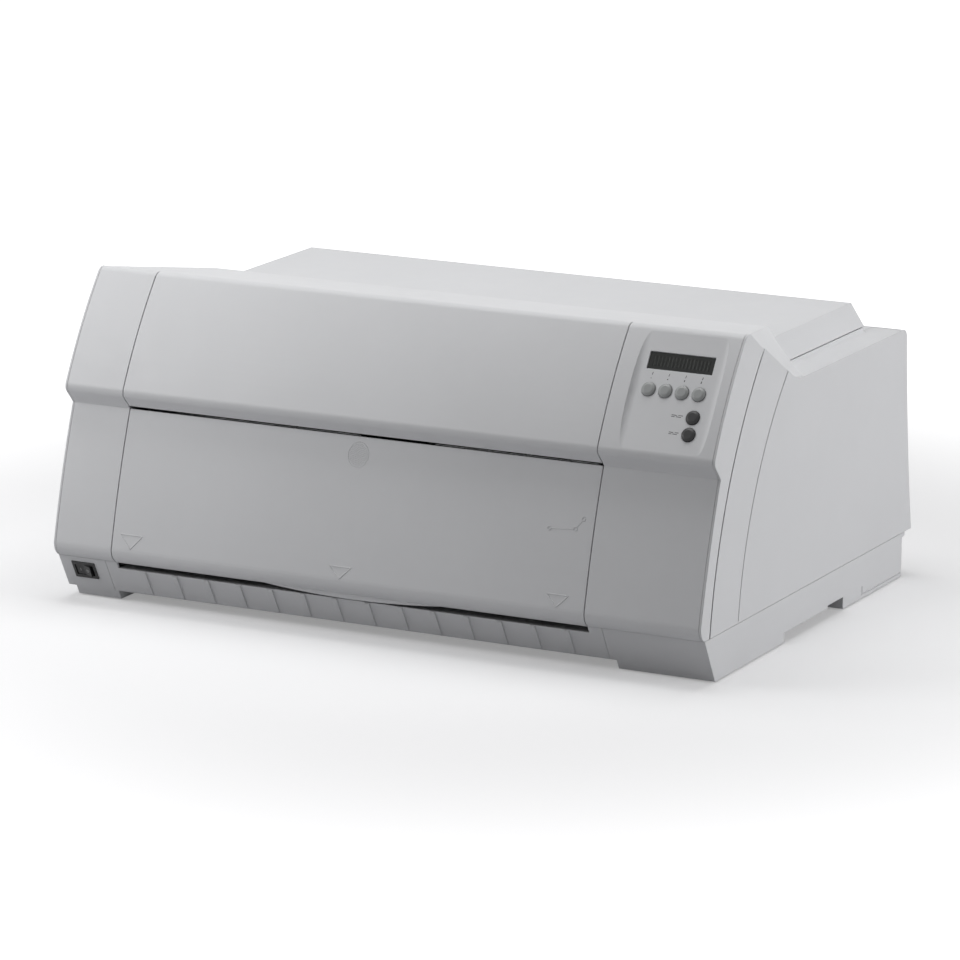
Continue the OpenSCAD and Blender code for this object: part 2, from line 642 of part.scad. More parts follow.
chute_t = 2.6;
rib_w = 5;
rib_h = 1.2;
rib_x0 = chute_x0 + 38.5;
rib_step = (chute_x1 - 35.5 - rib_x0) / (chute_ribs - 1);
module paper_chute() color(shell) {
    y0 = base_y(belly_z);
    y1 = base_y(slot_floor);
    fold = foot_front.x + 18;
    along_x(cover_x0 + cover_gap, cover_x1 - cover_gap) polygon([
        [y0, belly_z], [y1, slot_floor], [fold, slot_floor], [fold, slot_floor - chute_t],
        [y1 + 2 * chute_t, slot_floor - chute_t], [y0 - eps + chute_t, belly_z]]);
    for (e = [[chute_x0, cover_x0 + cover_gap], [cover_x1 - cover_gap, chute_x1]]) along_x(e[0], e[1])
        polygon([[y0, belly_z], base_top, base_top + [chute_t, 0], [y0 + chute_t, belly_z]]);
    for (i = [0 : chute_ribs - 1]) translate([rib_x0 + i * rib_step, 0, 0]) along_x(-rib_w / 2, rib_w / 2)
        polygon([[y0, belly_z + 0.5], [y0 - rib_h, belly_z + 1], [y1 - rib_h, slot_floor - 1.5],
            [y1, slot_floor - seam], [y1 + 1, slot_floor - seam], [y0 + 1, belly_z + 0.5]]);
}

bezel_w = 1.8;
switch_d = 14;
rocker_axis = -3.5;
rocker_pin_r = 1.5;
module switch_frame() color(dark) on_base(switch_x, switch_s) difference() {
    union() {
        translate([-switch_w / 2, -switch_h / 2, 0.02]) cube([switch_w, switch_h, 1]);
        translate([-switch_w / 2 + bezel_w, -switch_h / 2 + bezel_w, -switch_d])
            cube([switch_w - 2 * bezel_w, switch_h - 2 * bezel_w, switch_d + 0.1]);
    }
    translate([-rocker_w / 2 - 2 * seam, -rocker_h / 2 - seam, -9])
        cube([rocker_w + 4 * seam, rocker_h + 2 * seam, 12]);
    translate([0, -switch_h, rocker_axis]) rotate([-90, 0, 0])
        cylinder(h = 2 * switch_h, r = rocker_pin_r + run_fit, $fn = 32);
}
rocker_w = switch_w - 6;
rocker_h = switch_h - 7;
rocker_tilt = 9;
module power_rocker() color(dark) on_base(switch_x, switch_s) translate([0, 0, rocker_axis]) {
    r = rocker_w / 2;
    rotate([0, -rocker_tilt, 0]) rotate([90, 0, 0]) translate([0, 0, -rocker_h / 2])
        linear_extrude(rocker_h) polygon([
            [1 - r, 5.2], [0, 4], [r - 1, 5.2], [r - 1.6, 0], [3, -3.5], [-3, -3.5], [1.6 - r, 0]]);
    rotate([-90, 0, 0]) translate([0, 0, -rocker_h / 2 - 1.6])
        cylinder(h = rocker_h + 3.2, r = rocker_pin_r, $fn = 32);
}

// ---------- moving covers ----------
ear_t = 5;
module pivot_ear(x0, x1, c, r) difference() {
    rod_x(x0, x1, r, c);
    rod_x(x0 - 1, x1 + 1, pin_r + run_fit, c);
}

module upper_cover() color(shell) {
    x0 = cover_x0 + cover_gap;
    x1 = cover_x1 - cover_gap;
    along_x(x0, x1) band(upper_line(0, lid_edge_n), upper_line(wall, lid_edge_n));
    for (x = [x0, x1 - ear_t]) pivot_ear(x, x + ear_t, crest_c, crest_r - wall + 0.2);
}

grip_w = 178;
grip_drop = 4.6;
grip_r = (grip_w * grip_w / 4 + grip_drop * grip_drop) / (2 * grip_drop);
grip_x = mech_x + 5;
grip_low = slot_floor + 1.2;
lip_n = 255;
module front_flap() color(shell) {
    x0 = cover_x0 + cover_gap;
    x1 = cover_x1 - cover_gap;
    along_x(x0, x1) band(lower_line(0, lip_n), lower_line(wall, lip_n));
    for (x = [x0, x1 - ear_t]) pivot_ear(x, x + ear_t, nose_c, nose_r - wall + 0.2);
    // stiffening flanges down both sides
    for (x = [x0, x1 - 2]) along_x(x, x + 2)
        band(lower_line(0.5, face_low_n + 2), lower_line(9, face_low_n + 2));
    // lower lip, drawn down in the middle as a finger grip
    intersection() {
        translate([grip_x, nose_c.x - 5, grip_low + grip_r]) rotate([-90, 0, 0])
            cylinder(h = wall, r = grip_r, $fn = 360);
        box([x0, nose_c.x - 5, grip_low - 1], [x1, nose_c.x, nose_c.y - nose_r + 2]);
    }
}

module hinge_pins() color(steel) for (c = [crest_c, nose_c]) {
    rod_x(cover_x0 - cover_gap - wall - 1.5, cover_x0 + cover_gap + ear_t, pin_r, c);
    rod_x(cover_x1 - cover_gap - ear_t, cover_x1 + cover_gap + wall + 1.5, pin_r, c);
}

// ---------- chassis ----------
floor_z = belly_z + pan_t;
deck_z = 200;
deck_y = -12;
deck_rear = rear_panel_y - 3;
deck_rib = 6;
platen_c = [-70, 194];
rod_c = [-118, 160];
tractor_c = [-160, 118];
guide_c = [-160, 84];
motor_c = platen_c + (gear_teeth + pinion_teeth) / 2 * tooth_m * [cos(-45), sin(-45)];
guide_r = 4;
rail_y = -170;
rail_z = 150;
belt_y = -140;
belt_z = 150;
bush_r = shaft_r + 5;
chassis_front = -176;
chassis_top = [[chassis_front, 208], [-152, 232], [-48, 232], [-30, deck_z]];
chassis_rear = deck_rear - 20;
tab_z = belt_z - 3;
tab_w = 46;
tab_d = 20;
pulley_in = 20;
cassette_z = 180;
cassette_h = 20;
cassette_y = [-172, -148];
shelf_w = 12;
fit = 0.05;

module chassis_outline()
    polygon(concat([[chassis_front, floor_z]], chassis_top,
        [[chassis_rear, deck_z], [chassis_rear, floor_z]]));

module chassis_holes(x0, x1) {
    rod_x(x0, x1, bush_r + seam / 10, platen_c);
    rod_x(x0, x1, tractor_shaft_r + run_fit, tractor_c);
    // lightening holes that the wiring passes
    rod_x(x0, x1, 30, [90, 110]);
    rod_x(x0, x1, 26, [10, 80]);
}

module chassis_left() color(steel) {
    difference() {
        along_x(plate_l - plate_t, plate_l) chassis_outline();
        chassis_holes(plate_l - 5, plate_l + 5);
        rod_x(plate_l - 5, plate_l + 5, motor_boss_r + seam / 10, motor_c);
    }
    tab(plate_l - eps, plate_l + tab_w);
    box([plate_l - eps, cassette_y[0] + 2, cassette_z - 2],
        [plate_l + shelf_w, cassette_y[1] - 2, cassette_z]);
}
module tab(x0, x1) difference() {
    box([x0, belt_y - tab_d, tab_z - plate_t], [x1, belt_y + tab_d, tab_z]);
    translate([plate_l + pulley_in, belt_y, tab_z - 10]) cylinder(h = 20, r = boss_r + 0.1);
}
module chassis_right() color(steel) {
    difference() {
        along_x(plate_r, plate_r + plate_t) chassis_outline();
        chassis_holes(plate_r - 5, plate_r + 5);
    }
    tab(plate_r - tab_w, plate_r + eps);
    box([plate_r - shelf_w, cassette_y[0] + 2, cassette_z - 2],
        [plate_r + eps, cassette_y[1] - 2, cassette_z]);
    // stud that the idler pulley turns on
    translate([plate_r - pulley_in, belt_y, tab_z - eps]) cylinder(h = 11, r = spindle_r);
}

// Channel that ties the plates together, open to the rear
beam_c = [-105, 60];
beam_w = 30;
beam_h = 40;
beam_t = 2;
module cross_beam() color(steel) along_x(plate_l + fit, plate_r - fit) difference() {
    translate(beam_c) square([beam_w, beam_h], center = true);
    translate(beam_c + [beam_t, 0]) square([beam_w, beam_h - 2 * beam_t], center = true);
}
module carriage_rod() color(steel) rod_x(plate_l + fit, plate_r - fit, rod_r, rod_c);
rail_w = 10;
rail_h = 6;
module carriage_rail() color(steel) along_x(plate_l + fit, plate_r - fit)
    translate([rail_y, rail_z]) square([rail_w, rail_h]);
module tractor_guide_rod() color(steel) rod_x(plate_l + fit, plate_r - fit, guide_r, guide_c);

bush_t = 2;
module platen_bearings() color("white") for (s = [-1, 1]) {
    face = s < 0 ? plate_l : plate_r;
    difference() {
        union() {
            rod_x(min(face, face + s * plate_t), max(face, face + s * plate_t), bush_r, platen_c);
            rod_x(min(face, face - s * bush_t), max(face, face - s * bush_t), bush_r + 3, platen_c);
        }
        rod_x(face - 10, face + 10, shaft_r + run_fit, platen_c);
    }
}

screw_r = 3.2;
screw_t = 2;
screw_places = [beam_c - [5, 0], [rail_y + rail_w / 2, rail_z + rail_h / 2], rod_c, guide_c];
module chassis_screws() color(steel) for (p = screw_places) {
    rod_x(plate_l - plate_t - screw_t, plate_l - plate_t, screw_r, p, 32);
    rod_x(plate_r + plate_t, plate_r + plate_t + screw_t, screw_r, p, 32);
}

// ---------- platen and line feed ----------
gear_w = 8;
gear_x = plate_l - plate_t - 3 - gear_w;
module gear(teeth, w, bore) {
    r = teeth * tooth_m / 2;
    root = r - 1.15 * tooth_m;
    tip = r + 0.85 * tooth_m;
    step = 360 / teeth;
    difference() {
        linear_extrude(w) polygon([for (i = [0 : teeth - 1]) each [
            [root * cos((i - 0.33) * step), root * sin((i - 0.33) * step)],
            [tip * cos((i - 0.12) * step), tip * sin((i - 0.12) * step)],
            [tip * cos((i + 0.12) * step), tip * sin((i + 0.12) * step)],
            [root * cos((i + 0.33) * step), root * sin((i + 0.33) * step)]]]);
        translate([0, 0, -1]) cylinder(h = w + 2, r = bore);
    }
}
module at_x(x, c) translate([x, c.x, c.y]) rotate([90, 0, 90]) children();

roller_gap = 4;
module platen_roller() color(rubber) difference() {
    rod_x(plate_l + roller_gap, plate_r - roller_gap, platen_r, platen_c, 96);
    rod_x(plate_l, plate_r, shaft_r + seam / 10, platen_c);
}
module platen_shaft() color(steel) rod_x(gear_x - 2, plate_r + plate_t + 14, shaft_r, platen_c);
module platen_gear() color("white") at_x(gear_x, platen_c) rotate([0, 0, -45]) {
    gear(gear_teeth, gear_w, shaft_r + seam / 10);
}
feed_belt_w = 7;
feed_x = plate_r + plate_t + 3;
flange_t = 1;
rim = 2;
module feed_pulley(c, bore) difference() {
    x1 = feed_x + feed_belt_w;
    union() {
        rod_x(feed_x, x1, feed_pulley_r, c);
        rod_x(feed_x - 0.2 - flange_t, feed_x - 0.2, feed_pulley_r + rim, c);
        rod_x(x1 + 0.2, x1 + 0.2 + flange_t, feed_pulley_r + rim, c);
        rod_x(feed_x - 0.2 - flange_t, x1 + 0.2 + flange_t, feed_pulley_r - 0.5, c);
    }
    rod_x(feed_x - 5, x1 + 5, bore, c);
}
module platen_pulley() color(dark) feed_pulley(platen_c, shaft_r + seam / 10);
module feed_belt() color(rubber) along_x(feed_x + seam, feed_x + feed_belt_w - seam) difference() {
    polygon(belt_loop(tractor_c, platen_c, feed_pulley_r + seam + belt_t, 24));
    polygon(belt_loop(tractor_c, platen_c, feed_pulley_r + seam, 24));
}

motor_boss_r = 11;
motor_r = 21;
motor_l = 40;
motor_shaft_r = 2.5;
bore_l = 25;
module feed_motor() color(dark) difference() {
    union() {
        rod_x(plate_l + fit, plate_l + motor_l, motor_r, motor_c);
        rod_x(plate_l - plate_t, plate_l + 1, motor_boss_r, motor_c);
    }
    rod_x(plate_l - 5, plate_l + bore_l, motor_shaft_r + run_fit, motor_c);
}
module motor_pinion() color(steel) {
    at_x(gear_x, motor_c) rotate([0, 0, -45 + 180 / pinion_teeth + 180]) gear(pinion_teeth, gear_w, 0.01);
    rod_x(gear_x, plate_l + bore_l - 1, motor_shaft_r, motor_c);
}

// ---------- tractors ----------
module tractor_shaft() color(steel) {
    x0 = plate_l - plate_t - 3;
    rod_x(x0, feed_x + feed_belt_w + 3, tractor_shaft_r, tractor_c);
    rod_x(x0, x0 + 2, tractor_shaft_r + 2, tractor_c);
    color(dark) feed_pulley(tractor_c, tractor_shaft_r - 0.2);
}
tractor_r = 12;
tractor_lx = plate_l + 52;
tractor_rx = plate_r - 62;
tractor_fit = 0.03;
door_t = 2.5;
door_y = tractor_c.x - tractor_r - 7.5;
door_pin_r = 1.5;
knuckle_t = 5;
door_ear = 6;
hole_pitch = 12.7;
// Tractor with its door hinge on the -X side, centred on x = 0
module tractor() {
    w = tractor_w / 2;
    difference() {
        union() {
            rod_x(-w, w, tractor_r, tractor_c);
            rod_x(-w, w, tractor_r, guide_c);
            box([-w, tractor_c.x - tractor_r, guide_c.y], [w, tractor_c.x + tractor_r, tractor_c.y]);
            // ears for the door pin
            for (z = [guide_c.y, tractor_c.y - door_ear])
                box([-w - knuckle_t, door_y - 1, z], [-w + 1, tractor_c.x, z + door_ear]);
        }
        rod_x(-w - 10, w + 10, tractor_shaft_r + run_fit + tractor_fit, tractor_c);
        rod_x(-w - 10, w + 10, guide_r + run_fit + tractor_fit, guide_c);
        translate([-w - knuckle_t / 2, door_y + 1.5, guide_c.y - 1])
            cylinder(h = 60, r = door_pin_r + run_fit, $fn = 32);
        // room for the door
        box([-w - 0.1, door_y - 2, guide_c.y - 1], [-w + 3, door_y + door_t + 1.2, tractor_c.y + 1]);
    }
    // feed pins
    for (i = [0 : 2]) translate([0, tractor_c.x - tractor_r + 1, guide_c.y + 4.5 + i * hole_pitch])
        rotate([90, 0, 0]) cylinder(h = 4, r1 = 2, r2 = 1.4, $fn = 24);
}
pin_slot = 2.6;
module tractor_door() {
    w = tractor_w / 2;
    z0 = guide_c.y + door_ear + cover_gap;
    z1 = tractor_c.y - door_ear - cover_gap;
    translate([-w - knuckle_t / 2, door_y + 1.5, 0]) {
        translate([0, 0, z0]) cylinder(h = z1 - z0, r = knuckle_t / 2, $fn = 32);
        translate([0, 0, guide_c.y + 0.5])
            cylinder(h = tractor_c.y - guide_c.y - 1, r = door_pin_r, $fn = 32);
    }
    difference() {
        union() {
            box([-w - knuckle_t / 2, door_y, z0], [-w + 5, door_y + door_t, z1]);
            box([-w + 4.6, door_y, guide_c.y], [w, door_y + door_t, tractor_c.y]);
        }
        // slot over the feed pins
        box([-pin_slot, door_y - 1, guide_c.y + 1], [pin_slot, door_y + 10, tractor_c.y - 2]);
    }
}
module tractor_left() color(dark) translate([tractor_lx, 0, 0]) tractor();
module tractor_right() color(dark) translate([tractor_rx, 0, 0]) mirror([1, 0, 0]) tractor();
module tractor_left_door() color(key_grey) translate([tractor_lx, 0, 0]) tractor_door();
module tractor_right_door() color(key_grey) translate([tractor_rx, 0, 0]) mirror([1, 0, 0]) tractor_door();

// ---------- carriage ----------
belt_t = 1.2;
belt_h = 6;
carriage_w = 70;
clamp_w = 20;
slide_w = 54;
module carriage() color(dark) translate([mech_x, 0, 0]) difference() {
    w = carriage_w / 2;
    union() {
        box([-w, rod_c.x - 11, rod_c.y - 6], [w, rod_c.x + 12, rod_c.y + 12]);
        box([-slide_w / 2, rail_y + 1, rail_z + rail_h + seam], [slide_w / 2, rod_c.x - 10, rod_c.y + 4]);
        box([-clamp_w / 2, belt_y - pulley_r - 6, belt_z - 1],
            [clamp_w / 2, belt_y - pulley_r + 2, rod_c.y]);
        rod_x(-w, w, rod_r + 4, rod_c);
    }
    rod_x(-w - 1, w + 1, rod_r + run_fit, rod_c);
    // slot over the belt
    box([-w - 1, belt_y - pulley_r - belt_t - 2 * seam, belt_z - 5],
        [w + 1, belt_y - pulley_r, belt_z + belt_h + seam]);
}
head_y = platen_c.x - platen_r - 1.6;
head_r = 21;
head_l = 44;
fin_x0 = 16;
fin_n = 5;
fin_step = 5;
fin_t = 3;
fin_d = 6;
saddle = [28, 22, 10];
// Head turned about its firing axis: nose, cone, finned magnet housing and cap, on a saddle
module print_head() color(steel) {
    translate([mech_x, head_y, platen_c.y]) rotate([90, 0, 0]) rotate_extrude() polygon(concat(
        [[0, 0], [6, 0], [8, 10], [13, 13], [13, fin_x0]],
        [for (i = [0 : fin_n - 1], q = [[0, 0], [0, fin_t], [fin_d, fin_t], [fin_d, fin_step]])
            [head_r - q.x, fin_x0 + i * fin_step + q.y]],
        [[head_r, fin_x0 + fin_n * fin_step], [head_r, head_l], [0, head_l]]));
    translate([mech_x - saddle.x / 2, head_y - 18 - saddle.y, rod_c.y + 12]) cube(saddle);
}
module carriage_belt() color(rubber) translate([0, 0, belt_z]) linear_extrude(belt_h) difference() {
    ends = [[plate_l + pulley_in, belt_y], [plate_r - pulley_in, belt_y]];
    polygon(belt_loop(ends[0], ends[1], pulley_r + seam + belt_t, 24));
    polygon(belt_loop(ends[0], ends[1], pulley_r + seam, 24));
}
spindle_r = 2.5;
boss_r = 4.9;
spindle_l = 30;
motor_h = 38;
module belt_pulley() {
    cylinder(h = belt_h, r = pulley_r);
    for (z = [-0.2 - flange_t, belt_h + 0.2]) translate([0, 0, z])
        cylinder(h = flange_t, r = pulley_r + rim);
    translate([0, 0, -0.2 - flange_t]) cylinder(h = belt_h + 0.4 + 2 * flange_t, r = pulley_r - 1);
}
module drive_pulley() color(steel) translate([plate_l + pulley_in, belt_y, belt_z]) {
    belt_pulley();
    translate([0, 0, -spindle_l]) cylinder(h = spindle_l, r = spindle_r);
}
module idler_pulley() color(steel) translate([plate_r - pulley_in, belt_y, belt_z]) difference() {
    belt_pulley();
    translate([0, 0, -3]) cylinder(h = 20, r = spindle_r + run_fit);
}
module carriage_motor() color(dark) translate([plate_l + pulley_in, belt_y, 0]) difference() {
    translate([0, 0, tab_z - plate_t - motor_h]) {
        cylinder(h = motor_h, r = 14);
        cylinder(h = motor_h + plate_t, r = boss_r);
    }
    translate([0, 0, belt_z - spindle_l - 1]) cylinder(h = 40, r = spindle_r + run_fit);
}

// ---------- ribbon ----------
ribbon_y = platen_c.x - platen_r - 0.8;
arm_w = 18;
module ribbon_cassette() color(dark) {
    top = cassette_z + cassette_h;
    box([plate_l + 1, cassette_y[0], cassette_z], [plate_r - 1, cassette_y[1], top]);
    for (x = [plate_l + 1, plate_r - 1 - arm_w])
        box([x, cassette_y[1] - 1, cassette_z + 3], [x + arm_w, ribbon_y - 1.5, top]);
}
ribbon_x = [plate_l + arm_w + 1.02, plate_r - arm_w - 1.02];
ribbon_z = [platen_c.y - 6.5, platen_c.y + 5.5];
ribbon_end = 6;
module ribbon_band() color("black") {
    for (x = [ribbon_x[0] - ribbon_end, ribbon_x[1]])
        box([x, ribbon_y - 1.5, ribbon_z[0]], [x + ribbon_end, ribbon_y, ribbon_z[1]]);
    box([ribbon_x[0] - eps, ribbon_y - 0.3, ribbon_z[0]], [ribbon_x[1] + eps, ribbon_y, ribbon_z[1]]);
}
knob_r = 8;
knob_place = [plate_l + 10, (cassette_y[0] + cassette_y[1]) / 2, cassette_z + cassette_h + seam];
module ribbon_knob() color(key_grey) translate(knob_place) difference() {
    union() {
        cylinder(h = 6, r = knob_r);
        cylinder(h = 10, r = knob_r / 2);
    }
    for (i = [0 : 11]) rotate(i * 30) translate([knob_r + 0.6, 0, -1]) cylinder(h = 9, r = 1.2, $fn = 16);
}

// ---------- rear deck and electronics ----------
deck_ribs = 13;
deck_step = 28;
deck_wall_h = 25;
module rear_deck() color(shell_dark) {
    x = half_w - ledge_w - 6;
    box([-x, deck_y, deck_z], [x, deck_rear, deck_z + wall]);
    both_sides() box([x - wall, deck_y, deck_z], [x, deck_rear, deck_z + deck_wall_h]);
    for (i = [0 : deck_ribs - 1]) translate([slot_x0 + 10 + i * deck_step, 0, deck_z + wall])
        box([0, deck_y, -eps], [2, deck_rear, deck_rib]);
}
board_in = 15;
// corner x and y, then size, of the tallest parts on the board
board_parts = [[-160, 40, 30, 30, 4], [-90, 20, 22, 22, 3.5], [-40, 90, 40, 14, 24], [60, 30, 12, 70, 24],
    [120, 60, 26, 26, 30], [-150, 120, 16, 60, 8]];
module main_board() color(board_green) {
    box([plate_l + board_in, board_front, board_z - board_t], [plate_r - board_in, board_rear, board_z]);
    for (p = board_parts) translate([p[0], p[1], board_z - eps]) cube([p[2], p[3], p[4] + eps]);
}
supply_h = 100;
supply_d = 180;
supply_slots = 10;
slot_step = 16;
module power_supply() color(steel) difference() {
    x0 = plate_r + plate_t + 12;
    x1 = inner_x - 8;
    box([x0, 0, floor_z], [x1, supply_d, floor_z + supply_h]);
    for (i = [0 : supply_slots - 1]) translate([0, slot_step * (i + 1) - 1, floor_z + supply_h])
        box([x0 + 10, 0, -10], [x1 - 10, 4, 1]);
}

base_pan();
rubber_feet();
paper_chute();
left_side_panel();
right_side_panel();
left_front_cap();
console_housing();
left_side_trim();
right_side_trim();
top_frame();
rear_panel();
rear_deck();
chassis_left();
chassis_right();
cross_beam();
carriage_rod();
carriage_rail();
tractor_guide_rod();
platen_bearings();
feed_motor();
carriage_motor();
carriage_belt();
feed_belt();
main_board();
power_supply();
power_inlet();
interface_ports();
switch_frame();
control_board();
lcd_window();
ribbon_cassette();
ribbon_band();
hinge_pins();
hood_pins();
chassis_screws();
upper_cover();
front_flap();
rear_hood();
power_rocker();
menu_key_1();
menu_key_2();
menu_key_3();
menu_key_4();
upper_key();
lower_key();
carriage();
print_head();
drive_pulley();
idler_pulley();
platen_roller();
platen_shaft();
platen_gear();
platen_pulley();
motor_pinion();
tractor_shaft();
tractor_left();
tractor_right();
tractor_left_door();
tractor_right_door();
ribbon_knob();
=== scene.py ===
"""Wide-carriage matrix printer on a pale table, seen from its right front corner.

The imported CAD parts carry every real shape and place. This script gives each of them its finish,
rounds their moulded edges, turns the sweep of the side seams, adds the marks that are printed or
raised on the covers, and lights them.
"""

import math

import bmesh
import bpy
import numpy as np
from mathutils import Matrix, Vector


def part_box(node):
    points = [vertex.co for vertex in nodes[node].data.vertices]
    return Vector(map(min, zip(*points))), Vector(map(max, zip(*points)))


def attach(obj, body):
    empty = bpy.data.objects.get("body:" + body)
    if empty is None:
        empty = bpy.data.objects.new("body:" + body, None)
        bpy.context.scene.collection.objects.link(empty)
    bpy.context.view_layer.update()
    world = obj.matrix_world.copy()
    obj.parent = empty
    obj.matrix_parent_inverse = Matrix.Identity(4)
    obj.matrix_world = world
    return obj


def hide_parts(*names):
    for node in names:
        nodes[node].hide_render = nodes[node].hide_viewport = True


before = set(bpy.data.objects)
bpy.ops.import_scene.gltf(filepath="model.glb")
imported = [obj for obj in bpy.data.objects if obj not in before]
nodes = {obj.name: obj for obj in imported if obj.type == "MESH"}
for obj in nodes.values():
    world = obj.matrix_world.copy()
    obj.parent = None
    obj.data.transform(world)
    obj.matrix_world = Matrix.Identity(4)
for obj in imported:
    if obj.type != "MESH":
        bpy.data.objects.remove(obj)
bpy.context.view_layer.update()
scene = bpy.context.scene


# ---------- camera ----------
# A long lens stands well back on the right front corner, a little above the covers, as a catalogue
# photographer places it.

view_azimuth = math.radians(27.63)
view_elevation = math.radians(13.69)
camera_data = bpy.data.cameras.new("camera")
camera_data.lens = 197.7
camera_data.sensor_width = 36.0
camera_data.clip_end = 60.0
camera = bpy.data.objects.new("camera", camera_data)
away = Vector((
    math.sin(view_azimuth) * math.cos(view_elevation),
    -math.cos(view_azimuth) * math.cos(view_elevation),
    math.sin(view_elevation),
))
camera.location = (2.1709, -4.1611, 1.2438)
camera.rotation_mode = "QUATERNION"
camera.rotation_quaternion = (-away).to_track_quat("-Z", "Y")
scene.collection.objects.link(camera)
scene.camera = camera
scene.view_settings.view_transform = "Standard"


# ---------- table and lamps ----------
# A plain white sweep. The table takes the printer's soft shadow, and what the camera sees of it
# burns out to white, as in a cut-out catalogue picture.


def new_material(name):
    """A new node material, with its node tree and its Principled shader."""
    material = bpy.data.materials.new(name)
    material.use_nodes = True
    return material, material.node_tree, material.node_tree.nodes["Principled BSDF"]


def seen_directly(tree):
    """1 for what the camera, a mirror reflection or a clear pane shows, and 0 for light on a surface."""
    path = tree.nodes.new("ShaderNodeLightPath")
    value = path.outputs["Is Camera Ray"]
    for label in ("Is Glossy Ray", "Is Transmission Ray"):
        both = tree.nodes.new("ShaderNodeMath")
        both.operation = "MAXIMUM"
        tree.links.new(value, both.inputs[0])
        tree.links.new(path.outputs[label], both.inputs[1])
        value = both.outputs[0]
    return value


def table_material():
    """White where it is seen directly, except in the printer's shadow, and plain pale grey otherwise.

    The added glow grows with the distance from the printer, so the table burns out all round it.
    """
    material, tree, shader = new_material("table_white")
    tree.nodes.remove(shader)
    add = tree.nodes.new
    output = tree.nodes["Material Output"]
    place = add("ShaderNodeTexCoord")
    reach = add("ShaderNodeVectorMath")
    reach.operation = "LENGTH"
    far = add("ShaderNodeMapRange")
    far.interpolation_type = "SMOOTHSTEP"
    under_printer, burnt_out = (0.45, 0.28), (1.3, 1.0)  # distance and strength of the glow
    far.inputs["From Min"].default_value, far.inputs["To Min"].default_value = under_printer
    far.inputs["From Max"].default_value, far.inputs["To Max"].default_value = burnt_out
    seen = add("ShaderNodeBsdfDiffuse")
    seen.inputs["Color"].default_value = (0.74, 0.74, 0.75, 1)
    glow = add("ShaderNodeEmission")
    glow.inputs["Color"].default_value = (1, 1, 1, 1)
    both = add("ShaderNodeAddShader")
    bounce = add("ShaderNodeBsdfDiffuse")
    bounce.inputs["Color"].default_value = (0.54, 0.54, 0.55, 1)
    mix = add("ShaderNodeMixShader")
    tree.links.new(place.outputs["Object"], reach.inputs[0])
    tree.links.new(reach.outputs["Value"], far.inputs["Value"])
    tree.links.new(far.outputs[0], glow.inputs["Strength"])
    tree.links.new(seen.outputs[0], both.inputs[0])
    tree.links.new(glow.outputs[0], both.inputs[1])
    tree.links.new(seen_directly(tree), mix.inputs[0])
    tree.links.new(bounce.outputs[0], mix.inputs[1])
    tree.links.new(both.outputs[0], mix.inputs[2])
    tree.links.new(mix.outputs[0], output.inputs["Surface"])
    return material


def table(half):
    """A flat square of side 2 * half at z = 0."""
    corners = half * np.array([[-1, -1, 0], [1, -1, 0], [1, 1, 0], [-1, 1, 0]], float)
    mesh = bpy.data.meshes.new("table")
    mesh.from_pydata(corners.tolist(), [], [(0, 1, 2, 3)])
    mesh.materials.append(table_material())
    piece = bpy.data.objects.new("table", mesh)
    scene.collection.objects.link(piece)


def room(daylight):
    """An even pale surround: full white where it is seen directly, and dim daylight otherwise."""
    world = bpy.data.worlds.new("room")
    scene.world = world
    world.use_nodes = True
    tree = world.node_tree
    back = tree.nodes["Background"]
    back.inputs["Color"].default_value = (1, 1, 1, 1)
    level = tree.nodes.new("ShaderNodeMapRange")
    level.inputs["To Min"].default_value = daylight
    level.inputs["To Max"].default_value = 1.0
    tree.links.new(seen_directly(tree), level.inputs["Value"])
    tree.links.new(level.outputs[0], back.inputs["Strength"])


def softbox(name, place, aim, width, height, share):
    """An area lamp that lights a surface facing it at aim to share of full brightness.

    A lamp of power P at distance d gives a facing white surface the radiance P / (pi * d)^2.
    """
    place, aim = Vector(place), Vector(aim)
    lamp = bpy.data.lights.new(name, "AREA")
    lamp.shape = "RECTANGLE"
    lamp.size, lamp.size_y = width, height
    lamp.energy = share * (math.pi * (aim - place).length) ** 2
    lit = bpy.data.objects.new(name, lamp)
    lit.location = place
    lit.rotation_mode = "QUATERNION"
    lit.rotation_quaternion = (aim - place).to_track_quat("-Z", "Y")
    scene.collection.objects.link(lit)


table(8.0)
room(0.14)
# name, place, what it is aimed at, width, height and share of full brightness there
softbox("overhead", (-0.05, 0.12, 1.9), (0, 0, 0.2), 1.8, 1.1, 0.72)
softbox("left_front", (-0.85, -0.75, 0.74), (-0.3, -0.2, 0.15), 0.6, 0.6, 0.51)
softbox("right_side", (2.3, 0.4, 0.45), (0.3, 0.05, 0.15), 1.2, 0.8, 0.49)


# ---------- shell ----------
# Covers, panels and base pan: light grey styrene blend, injection moulded, with a fine spark-eroded
# grain. Every outer edge has the small round that the mould leaves.


def group_tree(name, inputs, outputs):
    """A new shader node group with named sockets: inputs and outputs are (name, type, default)."""
    tree = bpy.data.node_groups.new(name, "ShaderNodeTree")
    for label, kind, value in inputs:
        socket = tree.interface.new_socket(name=label, in_out="INPUT", socket_type=kind)
        if value is not None:
            socket.default_value = value
    for label, kind, _ in outputs:
        tree.interface.new_socket(name=label, in_out="OUTPUT", socket_type=kind)
    return tree, tree.nodes.new("NodeGroupInput"), tree.nodes.new("NodeGroupOutput")


def noise(tree, coords, scale, detail=2.0, roughness=0.5):
    """The value of a noise texture on the given coordinates."""
    node = tree.nodes.new("ShaderNodeTexNoise")
    node.inputs["Scale"].default_value = scale
    node.inputs["Detail"].default_value = detail
    node.inputs["Roughness"].default_value = roughness
    tree.links.new(coords, node.inputs["Vector"])
    return node.outputs["Fac"]


